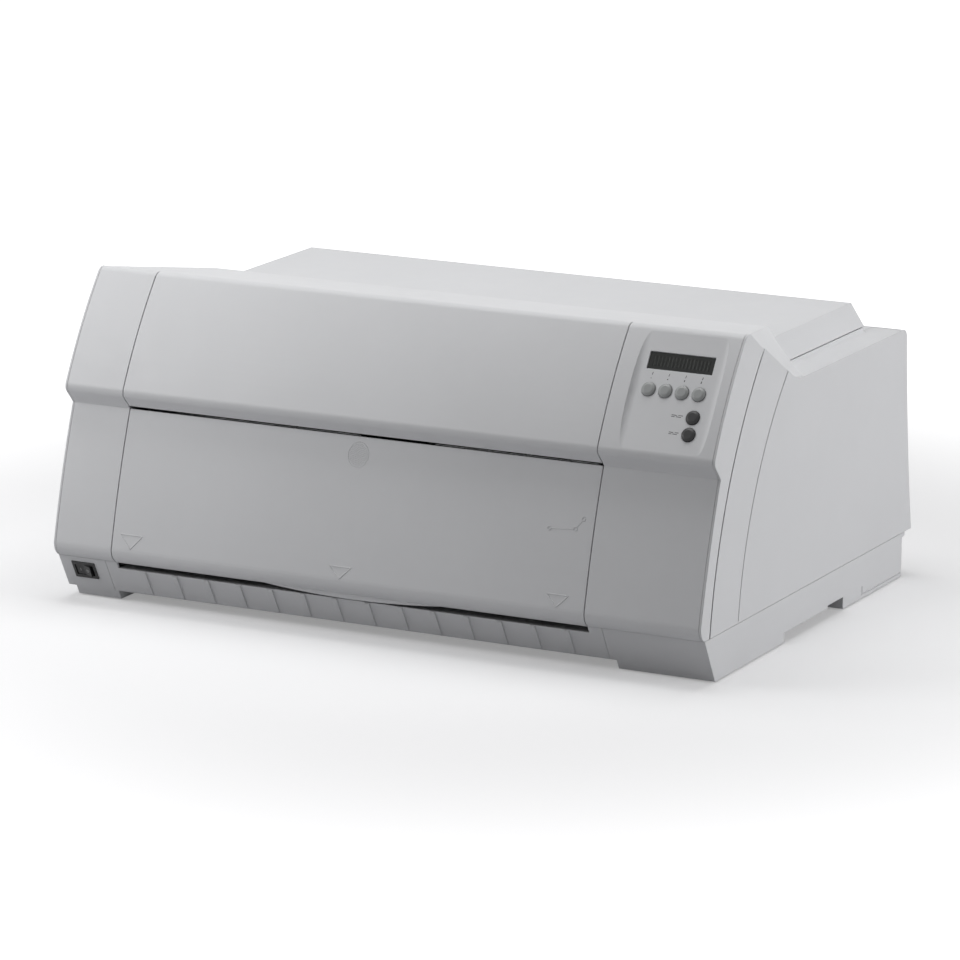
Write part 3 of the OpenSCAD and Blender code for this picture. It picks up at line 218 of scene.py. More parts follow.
def ranged(tree, value, low, high, start=0.0, end=1.0):
    """value, which runs from start to end, taken to low .. high."""
    node = tree.nodes.new("ShaderNodeMapRange")
    node.inputs["From Min"].default_value = start
    node.inputs["From Max"].default_value = end
    for label, level in (("To Min", low), ("To Max", high)):
        if isinstance(level, (int, float)):
            node.inputs[label].default_value = level
        else:
            tree.links.new(level, node.inputs[label])
    tree.links.new(value, node.inputs["Value"])
    return node.outputs[0]


def blended(tree, kind, share, a, b):
    """A colour mix of a and b. Each may be a socket or a plain colour."""
    node = tree.nodes.new("ShaderNodeMix")
    node.data_type = "RGBA"
    node.blend_type = kind
    for label, value in (("Factor", share), ("A", a), ("B", b)):
        socket = [s for s in node.inputs if s.name == label and s.enabled][0]
        if isinstance(value, (int, float, tuple)):
            socket.default_value = value
        else:
            tree.links.new(value, socket)
    return [s for s in node.outputs if s.enabled][0]


def grain_group():
    """Moulded grain: fine pits for the bump, slow drift for colour and roughness, and worn edges.

    The colour drifts with a slow noise and is paler where the edge mask is high. The mask is how
    far the surface normal turns from the one averaged over the mould's small edge round, which is
    also the normal that the group puts out.
    """
    tree, given, made = group_tree(
        "moulded_grain",
        [("Color", "NodeSocketColor", (0.7, 0.7, 0.7, 1)), ("Roughness", "NodeSocketFloat", 0.5),
         ("Pit Scale", "NodeSocketFloat", 1500.0), ("Drift", "NodeSocketFloat", 0.03),
         ("Edge Wear", "NodeSocketFloat", 0.1)],
        [("Color", "NodeSocketColor", None), ("Roughness", "NodeSocketFloat", None),
         ("Height", "NodeSocketFloat", None), ("Normal", "NodeSocketVector", None)],
    )
    link = tree.links.new
    coords = tree.nodes.new("ShaderNodeTexCoord").outputs["Object"]
    pits = noise(tree, coords, 1500.0, 3.0)
    link(given.outputs["Pit Scale"], pits.node.inputs["Scale"])
    swirl = noise(tree, coords, 9.0, 3.0)
    streak = noise(tree, coords, 70.0, 2.0)
    slow = tree.nodes.new("ShaderNodeMath")
    slow.operation = "MULTIPLY_ADD"
    link(swirl, slow.inputs[0])
    slow.inputs[1].default_value = 0.7
    link(ranged(tree, streak, 0.0, 0.3), slow.inputs[2])
    drift = tree.nodes.new("ShaderNodeMath")
    drift.operation = "MULTIPLY"
    link(ranged(tree, slow.outputs[0], -1.0, 1.0, 0.2, 0.8), drift.inputs[0])
    link(given.outputs["Drift"], drift.inputs[1])
    tint = tree.nodes.new("ShaderNodeHueSaturation")
    link(ranged(tree, drift.outputs[0], 0.0, 2.0, -1.0, 1.0), tint.inputs["Value"])
    link(given.outputs["Color"], tint.inputs["Color"])
    rounded = tree.nodes.new("ShaderNodeBevel")
    rounded.samples = 4
    rounded.inputs["Radius"].default_value = 0.0009
    plain = tree.nodes.new("ShaderNodeNewGeometry")
    turn = tree.nodes.new("ShaderNodeVectorMath")
    turn.operation = "DOT_PRODUCT"
    link(rounded.outputs["Normal"], turn.inputs[0])
    link(plain.outputs["Normal"], turn.inputs[1])
    edge = ranged(tree, turn.outputs["Value"], 1.0, 0.0, 0.7, 0.995)
    rubbed = tree.nodes.new("ShaderNodeMath")
    rubbed.operation = "MULTIPLY"
    link(edge, rubbed.inputs[0])
    link(ranged(tree, noise(tree, coords, 160.0, 3.0), 0.3, 1.0, 0.3, 0.6), rubbed.inputs[1])
    worn = tree.nodes.new("ShaderNodeMath")
    worn.operation = "MULTIPLY"
    link(rubbed.outputs[0], worn.inputs[0])
    link(given.outputs["Edge Wear"], worn.inputs[1])
    pale = blended(tree, "MIX", worn.outputs[0], tint.outputs["Color"], (0.9, 0.9, 0.9, 1))
    link(pale, made.inputs["Color"])
    rough = tree.nodes.new("ShaderNodeMath")
    rough.operation = "ADD"
    link(given.outputs["Roughness"], rough.inputs[0])
    link(ranged(tree, streak, -0.06, 0.06, 0.3, 0.7), rough.inputs[1])
    link(rough.outputs[0], made.inputs["Roughness"])
    link(pits, made.inputs["Height"])
    link(rounded.outputs["Normal"], made.inputs["Normal"])
    return tree


moulded_grain = grain_group()


def moulded(name, colour, rough, pit_scale=1500.0, pit_depth=0.05, drift=0.03, wear=0.08,
            specular=0.4):
    """A moulded plastic of a linear colour, with the grain group on its colour and surface."""
    material, tree, shader = new_material(name)
    grain = tree.nodes.new("ShaderNodeGroup")
    grain.node_tree = moulded_grain
    grain.inputs["Color"].default_value = (*colour, 1)
    grain.inputs["Roughness"].default_value = rough
    grain.inputs["Pit Scale"].default_value = pit_scale
    grain.inputs["Drift"].default_value = drift
    grain.inputs["Edge Wear"].default_value = wear
    bump = tree.nodes.new("ShaderNodeBump")
    bump.inputs["Strength"].default_value = pit_depth
    bump.inputs["Distance"].default_value = 0.0003
    tree.links.new(grain.outputs["Height"], bump.inputs["Height"])
    tree.links.new(grain.outputs["Normal"], bump.inputs["Normal"])
    tree.links.new(grain.outputs["Color"], shader.inputs["Base Color"])
    tree.links.new(grain.outputs["Roughness"], shader.inputs["Roughness"])
    tree.links.new(bump.outputs["Normal"], shader.inputs["Normal"])
    shader.inputs["Specular IOR Level"].default_value = specular
    material.diffuse_color = (*colour, 1)
    return material


def finish(names, material):
    """Gives CAD nodes a material in place of the plain one that they came with."""
    for name in names:
        slots = nodes[name].data.materials
        slots.clear()
        slots.append(material)


shell_grey = moulded("shell_grey", (0.69, 0.695, 0.71), 0.52)
shell_nodes = [
    "base_pan", "paper_chute", "left_side_panel", "right_side_panel", "left_front_cap",
    "console_housing", "left_side_trim", "right_side_trim", "top_frame", "rear_panel",
    "upper_cover", "front_flap", "rear_hood",
]
finish(shell_nodes, shell_grey)


# ---------- feet, platen and belts ----------
# Rubber: soft pads under the base, the ground sleeve of the platen, and the two toothed belts.
# The sleeve is dulled by paper, and the pads and belts carry a little dust.

soft_black = moulded("soft_black", (0.030, 0.030, 0.031), 0.75, pit_scale=900.0, pit_depth=0.12,
                     drift=0.35, wear=0.15, specular=0.25)
finish(["rubber_feet", "carriage_belt", "feed_belt"], soft_black)


def sleeve_material():
    """Ground rubber: fine rings round X from a noise squeezed along X, and slow dull patches."""
    material, tree, shader = new_material("platen_rubber")
    coords = tree.nodes.new("ShaderNodeTexCoord").outputs["Object"]
    rings = tree.nodes.new("ShaderNodeVectorMath")
    rings.operation = "MULTIPLY"
    rings.inputs[1].default_value = (2600.0, 30.0, 30.0)
    tree.links.new(coords, rings.inputs[0])
    ring = noise(tree, rings.outputs[0], 1.0, 2.0)
    patch = noise(tree, coords, 22.0, 4.0)
    colour = blended(tree, "MIX", patch, (0.020, 0.020, 0.021, 1), (0.046, 0.046, 0.047, 1))
    bump = tree.nodes.new("ShaderNodeBump")
    bump.inputs["Strength"].default_value = 0.15
    bump.inputs["Distance"].default_value = 0.0002
    tree.links.new(ring, bump.inputs["Height"])
    tree.links.new(colour, shader.inputs["Base Color"])
    tree.links.new(ranged(tree, patch, 0.55, 0.8), shader.inputs["Roughness"])
    tree.links.new(bump.outputs["Normal"], shader.inputs["Normal"])
    shader.inputs["Specular IOR Level"].default_value = 0.3
    return material


finish(["platen_roller"], sleeve_material())


# ---------- chassis, rods and shafts ----------
# Zinc-plated sheet for the two side plates, the rails and the supply's box, and ground steel for
# the rods, shafts and pins. The sheet has faint plating bloom, and the rods fine turning lines.


def metal_group():
    """Worked metal: fine lines from a noise stretched by a vector, and a slow bloom over them."""
    tree, given, made = group_tree(
        "worked_metal",
        [("Color", "NodeSocketColor", (0.6, 0.6, 0.6, 1)), ("Roughness", "NodeSocketFloat", 0.3),
         ("Stretch", "NodeSocketVector", (900.0, 900.0, 900.0)), ("Bloom", "NodeSocketFloat", 0.1)],
        [("Color", "NodeSocketColor", None), ("Roughness", "NodeSocketFloat", None),
         ("Height", "NodeSocketFloat", None)],
    )
    link = tree.links.new
    coords = tree.nodes.new("ShaderNodeTexCoord").outputs["Object"]
    stretched_coords = tree.nodes.new("ShaderNodeVectorMath")
    stretched_coords.operation = "MULTIPLY"
    link(coords, stretched_coords.inputs[0])
    link(given.outputs["Stretch"], stretched_coords.inputs[1])
    lines = noise(tree, stretched_coords.outputs[0], 1.0, 3.0)
    bloom = noise(tree, coords, 35.0, 5.0, 0.6)
    share = tree.nodes.new("ShaderNodeMath")
    share.operation = "MULTIPLY"
    link(bloom, share.inputs[0])
    link(given.outputs["Bloom"], share.inputs[1])
    dull = blended(tree, "MULTIPLY", share.outputs[0], given.outputs["Color"], (0.35, 0.36, 0.38, 1))
    link(dull, made.inputs["Color"])
    rough = tree.nodes.new("ShaderNodeMath")
    rough.operation = "ADD"
    link(given.outputs["Roughness"], rough.inputs[0])
    link(ranged(tree, bloom, -0.08, 0.10, 0.3, 0.7), rough.inputs[1])
    link(rough.outputs[0], made.inputs["Roughness"])
    link(lines, made.inputs["Height"])
    return tree


worked_metal = metal_group()


def metal(name, colour, rough, stretch, bloom=0.3, depth=0.05):
    """A bare metal of a linear colour, with the worked lines and bloom of the metal group."""
    material, tree, shader = new_material(name)
    work = tree.nodes.new("ShaderNodeGroup")
    work.node_tree = worked_metal
    work.inputs["Color"].default_value = (*colour, 1)
    work.inputs["Roughness"].default_value = rough
    work.inputs["Stretch"].default_value = stretch
    work.inputs["Bloom"].default_value = bloom
    bump = tree.nodes.new("ShaderNodeBump")
    bump.inputs["Strength"].default_value = depth
    bump.inputs["Distance"].default_value = 0.0001
    tree.links.new(work.outputs["Height"], bump.inputs["Height"])
    tree.links.new(work.outputs["Color"], shader.inputs["Base Color"])
    tree.links.new(work.outputs["Roughness"], shader.inputs["Roughness"])
    tree.links.new(bump.outputs["Normal"], shader.inputs["Normal"])
    shader.inputs["Metallic"].default_value = 1.0
    return material


zinc_sheet = metal("zinc_sheet", (0.60, 0.61, 0.63), 0.38, (300.0, 60.0, 900.0), 0.6, 0.08)
ground_steel = metal("ground_steel", (0.66, 0.66, 0.67), 0.22, (2400.0, 40.0, 40.0), 0.25)
finish(["chassis_left", "chassis_right", "cross_beam", "carriage_rail", "power_supply"], zinc_sheet)
finish(["carriage_rod", "tractor_guide_rod", "platen_shaft", "tractor_shaft", "hinge_pins",
        "hood_pins", "motor_pinion", "drive_pulley", "idler_pulley"], ground_steel)
finish(["chassis_screws"], metal("screw_zinc", (0.52, 0.53, 0.52), 0.34, (40.0, 1500.0, 1500.0)))


# ---------- gears and bearings ----------
# White acetal: the platen's gear and its two flanged bearings, waxy and faintly translucent.

acetal = moulded("white_acetal", (0.72, 0.72, 0.68), 0.38, pit_scale=2600.0, pit_depth=0.02, drift=0.03,
                 wear=0.0)
acetal_shader = acetal.node_tree.nodes["Principled BSDF"]
acetal_shader.inputs["Subsurface Weight"].default_value = 0.15
acetal_shader.inputs["Subsurface Radius"].default_value = (0.002, 0.002, 0.002)
finish(["platen_gear", "platen_bearings"], acetal)


# ---------- motors, carriage and print head ----------
# Step motors with black oxide cans, a cast head whose fins carry off the heat of its magnets, and
# glass-filled black nylon for the carriage, the tractors, the feed pulley and the cassette.

jet_black = moulded("jet_black", (0.022, 0.022, 0.023), 0.42, pit_scale=2200.0, pit_depth=0.03,
                    drift=0.2, wear=0.1)
finish(["carriage", "tractor_left", "tractor_right", "platen_pulley", "ribbon_cassette"], jet_black)
finish(["feed_motor", "carriage_motor"],
       moulded("black_oxide", (0.035, 0.035, 0.038), 0.30, pit_scale=1800.0, pit_depth=0.05, drift=0.3,
               wear=0.35, specular=0.6))
finish(["print_head"], metal("cast_head", (0.34, 0.34, 0.35), 0.46, (1100.0, 1100.0, 1100.0), 0.5, 0.25))


# ---------- ribbon ----------
# An endless band of inked nylon cloth, plain woven, that runs between the arms of its cassette.


def ribbon_material():
    """Plain weave: two sets of thread waves, along X and Z, that take turns to be on top."""
    material, tree, shader = new_material("inked_cloth")
    coords = tree.nodes.new("ShaderNodeTexCoord").outputs["Object"]
    waves = []
    for direction in ("X", "Z"):
        wave = tree.nodes.new("ShaderNodeTexWave")
        wave.bands_direction = direction
        wave.inputs["Scale"].default_value = 900.0
        wave.inputs["Distortion"].default_value = 0.6
        tree.links.new(coords, wave.inputs["Vector"])
        waves.append(wave.outputs["Fac"])
    over = tree.nodes.new("ShaderNodeMath")
    over.operation = "MAXIMUM"
    tree.links.new(waves[0], over.inputs[0])
    tree.links.new(waves[1], over.inputs[1])
    bump = tree.nodes.new("ShaderNodeBump")
    bump.inputs["Strength"].default_value = 0.3
    bump.inputs["Distance"].default_value = 0.0001
    tree.links.new(over.outputs[0], bump.inputs["Height"])
    ink = blended(tree, "MIX", noise(tree, coords, 40.0, 3.0), (0.008, 0.008, 0.011, 1),
                  (0.020, 0.020, 0.026, 1))
    tree.links.new(ink, shader.inputs["Base Color"])
    tree.links.new(ranged(tree, waves[0], 0.6, 0.85), shader.inputs["Roughness"])
    tree.links.new(bump.outputs["Normal"], shader.inputs["Normal"])
    shader.inputs["Sheen Weight"].default_value = 0.2
    return material


finish(["ribbon_band"], ribbon_material())


# ---------- circuit boards ----------
# Glass-fibre boards under green solder mask. Copper runs show paler through the mask, and the parts
# that stand on them are black mouldings.


def board_material(name, up, out, level):
    """Green below a plane and black above it: the height is the place times the plane's normal.

    Copper runs are the mortar of a brick pattern laid out along X and the board's own up.
    """
    material, tree, shader = new_material(name)
    coords = tree.nodes.new("ShaderNodeTexCoord").outputs["Object"]
    sizes = []
    for axis in (up, out):
        along = tree.nodes.new("ShaderNodeVectorMath")
        along.operation = "DOT_PRODUCT"
        along.inputs[1].default_value = tuple(axis)
        tree.links.new(coords, along.inputs[0])
        sizes.append(along.outputs["Value"])
    across = tree.nodes.new("ShaderNodeSeparateXYZ")
    flat = tree.nodes.new("ShaderNodeCombineXYZ")
    tree.links.new(coords, across.inputs[0])
    tree.links.new(across.outputs["X"], flat.inputs["X"])
    tree.links.new(sizes[0], flat.inputs["Y"])
    runs = tree.nodes.new("ShaderNodeTexBrick")
    runs.inputs["Scale"].default_value = 60.0
    runs.inputs["Mortar Size"].default_value = 0.03
    runs.inputs["Color1"].default_value = (0.018, 0.090, 0.045, 1)
    runs.inputs["Color2"].default_value = (0.016, 0.080, 0.040, 1)
    runs.inputs["Mortar"].default_value = (0.045, 0.150, 0.070, 1)
    tree.links.new(flat.outputs[0], runs.inputs["Vector"])
    above = tree.nodes.new("ShaderNodeMath")
    above.operation = "GREATER_THAN"
    above.inputs[1].default_value = level
    tree.links.new(sizes[1], above.inputs[0])
    speck = blended(tree, "MIX", noise(tree, coords, 300.0), (0.016, 0.016, 0.017, 1),
                    (0.034, 0.034, 0.036, 1))
    colour = blended(tree, "MIX", above.outputs[0], runs.outputs["Color"], speck)
    tree.links.new(colour, shader.inputs["Base Color"])
    tree.links.new(ranged(tree, above.outputs[0], 0.28, 0.5), shader.inputs["Roughness"])
    bump = tree.nodes.new("ShaderNodeBump")
    bump.inputs["Strength"].default_value = 0.1
    bump.inputs["Distance"].default_value = 0.0001
    tree.links.new(runs.outputs["Fac"], bump.inputs["Height"])
    tree.links.new(bump.outputs["Normal"], shader.inputs["Normal"])
    return material


board_low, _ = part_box("main_board")
board_top = board_low.z + 0.0017
finish(["main_board"], board_material("main_board_mask", (0, 1, 0), (0, 0, 1), board_top))
finish(["rear_deck"],
       moulded("inner_grey", (0.36, 0.37, 0.38), 0.55, pit_scale=1300.0, pit_depth=0.05, wear=0.05))


# ---------- rear connectors ----------
# Three signal sockets and the mains inlet, black mouldings. Each socket has a plated steel lip and
# a tongue with its contacts, and the inlet has its three blades in the CAD part.

finish(["interface_ports", "power_inlet"], jet_black)


def grid_mesh(name, points, closed_across=False, caps=False):
    """A mesh on a grid of points, rows along and columns across, joined round across if asked."""
    rows, columns = points.shape[:2]
    index = np.arange(rows * columns).reshape(rows, columns)
    right = np.roll(index, -1, axis=1) if closed_across else index[:, 1:]
    left = index if closed_across else index[:, :-1]
    faces = np.stack([left[:-1], right[:-1], right[1:], left[1:]], -1).reshape(-1, 4).tolist()
    if caps:
        faces += [index[0, ::-1].tolist(), index[-1].tolist()]
    mesh = bpy.data.meshes.new(name)
    mesh.from_pydata(points.reshape(-1, 3).tolist(), [], faces)
    return mesh


def join_meshes(name, meshes):
    """One mesh object made of several closed meshes, with every face turned outwards."""
    build = bmesh.new()
    for mesh in meshes:
        build.from_mesh(mesh)
        bpy.data.meshes.remove(mesh)
    bmesh.ops.recalc_face_normals(build, faces=build.faces)
    whole = bpy.data.meshes.new(name)
    build.to_mesh(whole)
    build.free()
    piece = bpy.data.objects.new(name, whole)
    scene.collection.objects.link(piece)
    return piece


def plane_face(origin, across, up):
    """A function from two sizes to points at origin + x across + s up, with the plane's normal."""
    out = np.cross(across, up)

    def surface(x, s):
        points = origin + x[..., None] * across + s[..., None] * up
        return points, np.broadcast_to(out, points.shape)

    return surface


def bead(name, surface, path, width, height, sunk=0.0003):
    """A low rounded ridge along a path on a surface, its path given in the surface's two sizes.

    Across each point the section is a half ellipse, cos t * width / 2 sideways and
    sin t * height outwards for t from 0 to pi, closed below the surface at depth sunk.
    """
    path = np.asarray(path, float)
    centre, out = surface(path[:, 0], path[:, 1])
    along = np.gradient(centre, axis=0)
    if np.allclose(centre[0], centre[-1]):
        along[0] = along[-1] = centre[1] - centre[-2]
    along /= np.linalg.norm(along, axis=1, keepdims=True)
    side = np.cross(along, out)
    t = np.linspace(0, math.pi, 7)
    across = np.concatenate([np.cos(t) * width / 2, [-width / 2, width / 2]])
    rise = np.concatenate([np.sin(t) * height, [-sunk, -sunk]])
    section = across[None, :, None] * side[:, None, :] + rise[None, :, None] * out[:, None, :]
    return grid_mesh(name, centre[:, None, :] + section, closed_across=True, caps=True)


def stretched(corners, step=0.0012):
    """A path through corners with points about step apart, so that it follows a curved face."""
    corners = np.asarray(corners, float)
    lengths = np.linalg.norm(np.diff(corners, axis=0), axis=1)
    parts = [
        a + (b - a) * np.linspace(0, 1, max(2, int(d / step)), endpoint=False)[:, None]
        for a, b, d in zip(corners[:-1], corners[1:], lengths)
    ]
    return np.concatenate([*parts, corners[-1:]])


def cut_block(low, high, cut):
    """A closed block along Y with all its edges cut off.

    Four rings stand along Y. Each is an oblong in X and Z with cut corners, and the two end rings
    are smaller by the cut.
    """
    low, high = np.array(low, float), np.array(high, float)
    rings = []
    for y, inset in ((low[1], cut), (low[1] + cut, 0.0), (high[1] - cut, 0.0), (high[1], cut)):
        x0, x1, z0, z1 = low[0] + inset, high[0] - inset, low[2] + inset, high[2] - inset
        rings.append([(x0 + cut, y, z0), (x1 - cut, y, z0), (x1, y, z0 + cut), (x1, y, z1 - cut),
                      (x1 - cut, y, z1), (x0 + cut, y, z1), (x0, y, z1 - cut), (x0, y, z0 + cut)])
    return grid_mesh("block", np.array(rings), closed_across=True, caps=True)


ports_low, ports_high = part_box("interface_ports")
port_y = ports_high.y
port_z = ports_low.z
port_wall, port_floor, corner_r = 0.0015, 0.0032, 0.0012
tongue_gap, tongue_half_t, contact_half_w, contact_half_t = 0.0035, 0.0011, 0.0004, 0.0002
tongues, contacts, lips = [], [], []
# middle x, outer width and height, contacts in a row, rows of contacts
for middle, width, height, count, rows in ((0.0, 0.058, 0.012, 18, 2), (0.070, 0.032, 0.011, 5, 2),
                                           (0.120, 0.014, 0.011, 4, 1)):
    floor, ceiling = port_z + port_floor, port_z + height - port_wall
    half, tall, mid = width / 2 - port_wall, (ceiling - floor) / 2, (floor + ceiling) / 2
    tongue = half - tongue_gap
    tongues.append(cut_block((middle - tongue, port_y - 0.0098, mid - tongue_half_t),
                             (middle + tongue, port_y - 0.0020, mid + tongue_half_t), 0.0003))
    for k in range(count):
        x = middle + (k - (count - 1) / 2) * 2 * (tongue - 0.0012) / (count - 1)
        for side in (1, -1)[:rows]:
            z = mid + side * 0.0012
            contacts.append(cut_block((x - contact_half_w, port_y - 0.0090, z - contact_half_t),
                                      (x + contact_half_w, port_y - 0.0026, z + contact_half_t), 0.0001))
    lip_face = plane_face(np.array([middle, port_y, mid]), np.array([-1.0, 0, 0]), np.array([0, 0, 1.0]))
    turn = np.linspace(0, math.pi / 2, 5)
    corners = [
        np.stack([cx * (half - corner_r) + corner_r * np.cos(turn + start),
                  cz * (tall - corner_r) + corner_r * np.sin(turn + start)], -1)
        for cx, cz, start in ((1, 1, 0), (-1, 1, math.pi / 2), (-1, -1, math.pi), (1, -1, 1.5 * math.pi))
    ]
    loop = np.concatenate([*corners, corners[0][:1]])
    lips.append(bead("lip", lip_face, stretched(loop, 0.003), 0.0011, 0.0006))
port_tongues = join_meshes("port_tongues", tongues)
port_tongues.data.materials.append(jet_black)
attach(port_tongues, "body")
port_contacts = join_meshes("port_contacts", contacts)
port_contacts.data.materials.append(
    metal("contact_gold", (0.72, 0.50, 0.20), 0.25, (200.0, 2000.0, 200.0), 0.1))
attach(port_contacts, "body")
port_lips = join_meshes("port_lips", lips)
port_lips.data.materials.append(metal("lip_nickel", (0.62, 0.61, 0.58), 0.28, (800.0, 800.0, 800.0), 0.3))
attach(port_lips, "body")


# ---------- side trims, side panels and top frame ----------
# A trim strip closes each front corner, and the panel behind it starts at an open seam. This seam
# and the moulded line behind it run down and forwards in a hollow sweep, as on the real covers. The
# top frame keeps its shape, and the blends at its two ends are shaded smooth.


def points_of(mesh):
    """The places of a mesh's vertices, one row each."""
    places = np.empty(len(mesh.vertices) * 3)
    mesh.vertices.foreach_get("co", places)
    return places.reshape(-1, 3)


def swept(profile, top, low, radius):
    """Mirrors across its chord each profile point that lies on the rearward arc from top to low.

    An arc of the given radius has its centre on the normal through the middle of the chord, at
    the root of radius squared less half the chord squared.
    """
    chord = top - low
    length = np.linalg.norm(chord)
    along = chord / length
    rearward = np.array([along[1], -along[0]])
    centre = (top + low) / 2 - rearward * math.sqrt(radius**2 - length**2 / 4)
    reach = (profile - low) @ along
    close = 1e-5
    on = (abs(np.linalg.norm(profile - centre, axis=1) - radius) < close)
    on &= (reach > -close) & (reach < length + close)
    profile[on] -= 2 * ((profile[on] - low) @ rearward)[:, None] * rearward


def swept_copy(name, piece_name, arcs):
    """A moulding made from a node's own mesh, joined up and with its rearward arcs turned hollow."""
    build = bmesh.new()
    build.from_mesh(nodes[name].data)
    bmesh.ops.remove_doubles(build, verts=build.verts, dist=1e-6)
    bmesh.ops.dissolve_limit(build, angle_limit=math.radians(0.3), verts=build.verts, edges=build.edges)
    mesh = bpy.data.meshes.new(piece_name)
    build.to_mesh(mesh)
    build.free()
    places = points_of(mesh)
    for top, low, radius in arcs:
        swept(places[:, 1:], top, low, radius)
    mesh.vertices.foreach_set("co", places.ravel())
    given = mesh.attributes.get("custom_normal")
    if given:
        mesh.attributes.remove(given)
    mesh.shade_smooth()
    mesh.set_sharp_from_angle(angle=math.radians(30))
    mesh.materials.clear()
    mesh.materials.append(shell_grey)
    piece = bpy.data.objects.new(piece_name, mesh)
    scene.collection.objects.link(piece)
    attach(piece, "body")
    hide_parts(name)


seam_radius, seam_width = 0.446, 0.0022
line_radius, line_depth = 0.354, 0.0006
swept_copy("top_frame", "crest_moulding", [])
for side in ("left", "right"):
    edge = points_of(nodes[side + "_side_trim"].data)[:, 1:]
    foot = edge[edge[:, 1] < edge[:, 1].min() + 1e-5]
    top, low = edge[edge[:, 0].argmax()], foot[foot[:, 0].argmax()]
    swept_copy(side + "_side_trim", side + "_corner_trim", [(top, low, seam_radius)])

    # The moulded line is a shallow groove, so its two walls end at its depth in the panel.
    panel = points_of(nodes[side + "_side_panel"].data)
    width = abs(panel[:, 0])
    line = panel[abs(width - (width.max() - line_depth)) < 1e-5][:, 1:]
    line = np.unique(line.round(6), axis=0)
    line = line[line[:, 1].argsort()]
    gap = np.array([seam_width, 0.0])
    line_ends = line[:2]
    arcs = [(top + gap, low + gap, seam_radius),
            (line[-1], line_ends[line_ends[:, 0].argmin()], line_radius),
            (line[-2], line_ends[line_ends[:, 0].argmax()], line_radius)]
    swept_copy(side + "_side_panel", side + "_side_moulding", arcs)


# ---------- flap marks ----------
# Raised in the same mould as the flap: arrows that show where the loose sheets go in, a ribbed
# thumb spot below the cover, and a bent line with three rings that shows how the flap folds.


def front_of(name):
    """A function from x and z to the points and outward normals of a node's bulged front face.

    Seen along X, the face is made of the points that lie furthest in each forward direction.
    """
    profile = points_of(nodes[name].data)[:, 1:]
    turn = np.linspace(math.pi / 2, 1.5 * math.pi, 720)
    furthest = np.unique((profile @ np.stack([np.cos(turn), np.sin(turn)])).argmax(0))
    forward = profile[furthest]
    forward = forward[forward[:, 1].argsort()]

    def surface(x, z):
        step = 0.004
        under, y, over = (np.interp(z + d, forward[:, 1], forward[:, 0]) for d in (-step, 0, step))
        normal = np.stack([np.zeros_like(z), np.full_like(z, -2 * step), over - under], -1)
        return np.stack([x, y, z], -1), normal / np.linalg.norm(normal, axis=-1, keepdims=True)

    return surface


def ring_path(centre, radius, count=40, stretch=1.0):
    """A closed round path, stretched upwards by a factor."""
    turn = np.linspace(0, 2 * math.pi, count + 1)
    across, up = radius * np.cos(turn), stretch * radius * np.sin(turn)
    return np.stack([centre[0] + across, centre[1] + up], -1)


flap_face = front_of("front_flap")
flap_beads = []
# arrows: middle x, top and tip height, half width
for middle, top, tip, half in ((-0.2445, 0.070, 0.0575, 0.0115), (-0.0290, 0.067, 0.0565, 0.0110),
                               (0.1860, 0.068, 0.0575, 0.0105)):
    corners = [(middle - half, top), (middle + half, top), (middle, tip), (middle - half, top)]
    flap_beads.append(bead("arrow", flap_face, stretched(corners), 0.0012, 0.0005))
thumb, thumb_r = (-0.0255, 0.163), 0.0102
rim = ring_path(thumb, thumb_r, stretch=1.05)
flap_beads.append(bead("thumb_rim", flap_face, rim, 0.0008, 0.00025))
slope, rib_pitch = math.radians(32), 0.0017
for k in range(-5, 6):
    offset = k * rib_pitch
    reach = math.sqrt(thumb_r**2 - offset**2) - 0.0012
    t = np.linspace(-1, 1, 24)
    u, v = t * reach, offset + 0.0004 * np.sin(t * 6)
    wave = np.stack([thumb[0] + u * math.cos(slope) - v * math.sin(slope),
                     thumb[1] + u * math.sin(slope) + v * math.cos(slope)], -1)
    flap_beads.append(bead("thumb_rib", flap_face, wave, 0.0006, 0.00018))
fold = np.array([(0.1705, 0.1224), (0.1955, 0.1241), (0.2023, 0.1332)])
for a, b in zip(fold[:-1], fold[1:]):
    clear = 0.002 * (b - a) / np.linalg.norm(b - a)
    flap_beads.append(bead("fold_line", flap_face, stretched([a + clear, b - clear]), 0.0008, 0.0004))
for spot in fold:
    flap_beads.append(bead("fold_ring", flap_face, ring_path(spot, 0.0016, 24), 0.0007, 0.0005))
flap_marks = join_meshes("flap_marks", flap_beads)
flap_marks.data.materials.append(shell_grey)
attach(flap_marks, "front_flap")


# ---------- console ----------
# A sunken panel with a display and six keys. The grey keys and the black ones are hard moulded
# caps, and the display is a smoked window over a two line liquid crystal module.


def flat_of(name, toward):
    """The middle and the outward normal of a node's largest flat that faces a direction.

    Its triangles are sorted into planes by normal and by distance along it, and the plane with the
    most area is taken.
    """
    mesh = nodes[name].data
    mesh.calc_loop_triangles()
    corners = np.empty(len(mesh.loop_triangles) * 3, np.int32)
    mesh.loop_triangles.foreach_get("vertices", corners)
    corners = points_of(mesh)[corners.reshape(-1, 3)]
    cross = np.cross(corners[:, 1] - corners[:, 0], corners[:, 2] - corners[:, 0])
    area = np.linalg.norm(cross, axis=1)
    cross, corners, area = cross[area > 0], corners[area > 0], area[area > 0]
    normal = cross / area[:, None]
    middle = corners.mean(1)
    about_aligned, same_turn, same_place = 0.98, 0.01, 0.0002
    facing = normal @ np.array(toward) > about_aligned
    normal, middle, area = normal[facing], middle[facing], area[facing]
    place = (normal * middle).sum(1) / same_place
    plane = np.column_stack([normal / same_turn, place]).round()
    _, which = np.unique(plane, axis=0, return_inverse=True)
    which = which.ravel()
    best = which == np.bincount(which, area).argmax()
    weight = area[best, None] / area[best].sum()
    return (middle[best] * weight).sum(0), (normal[best] * weight).sum(0)


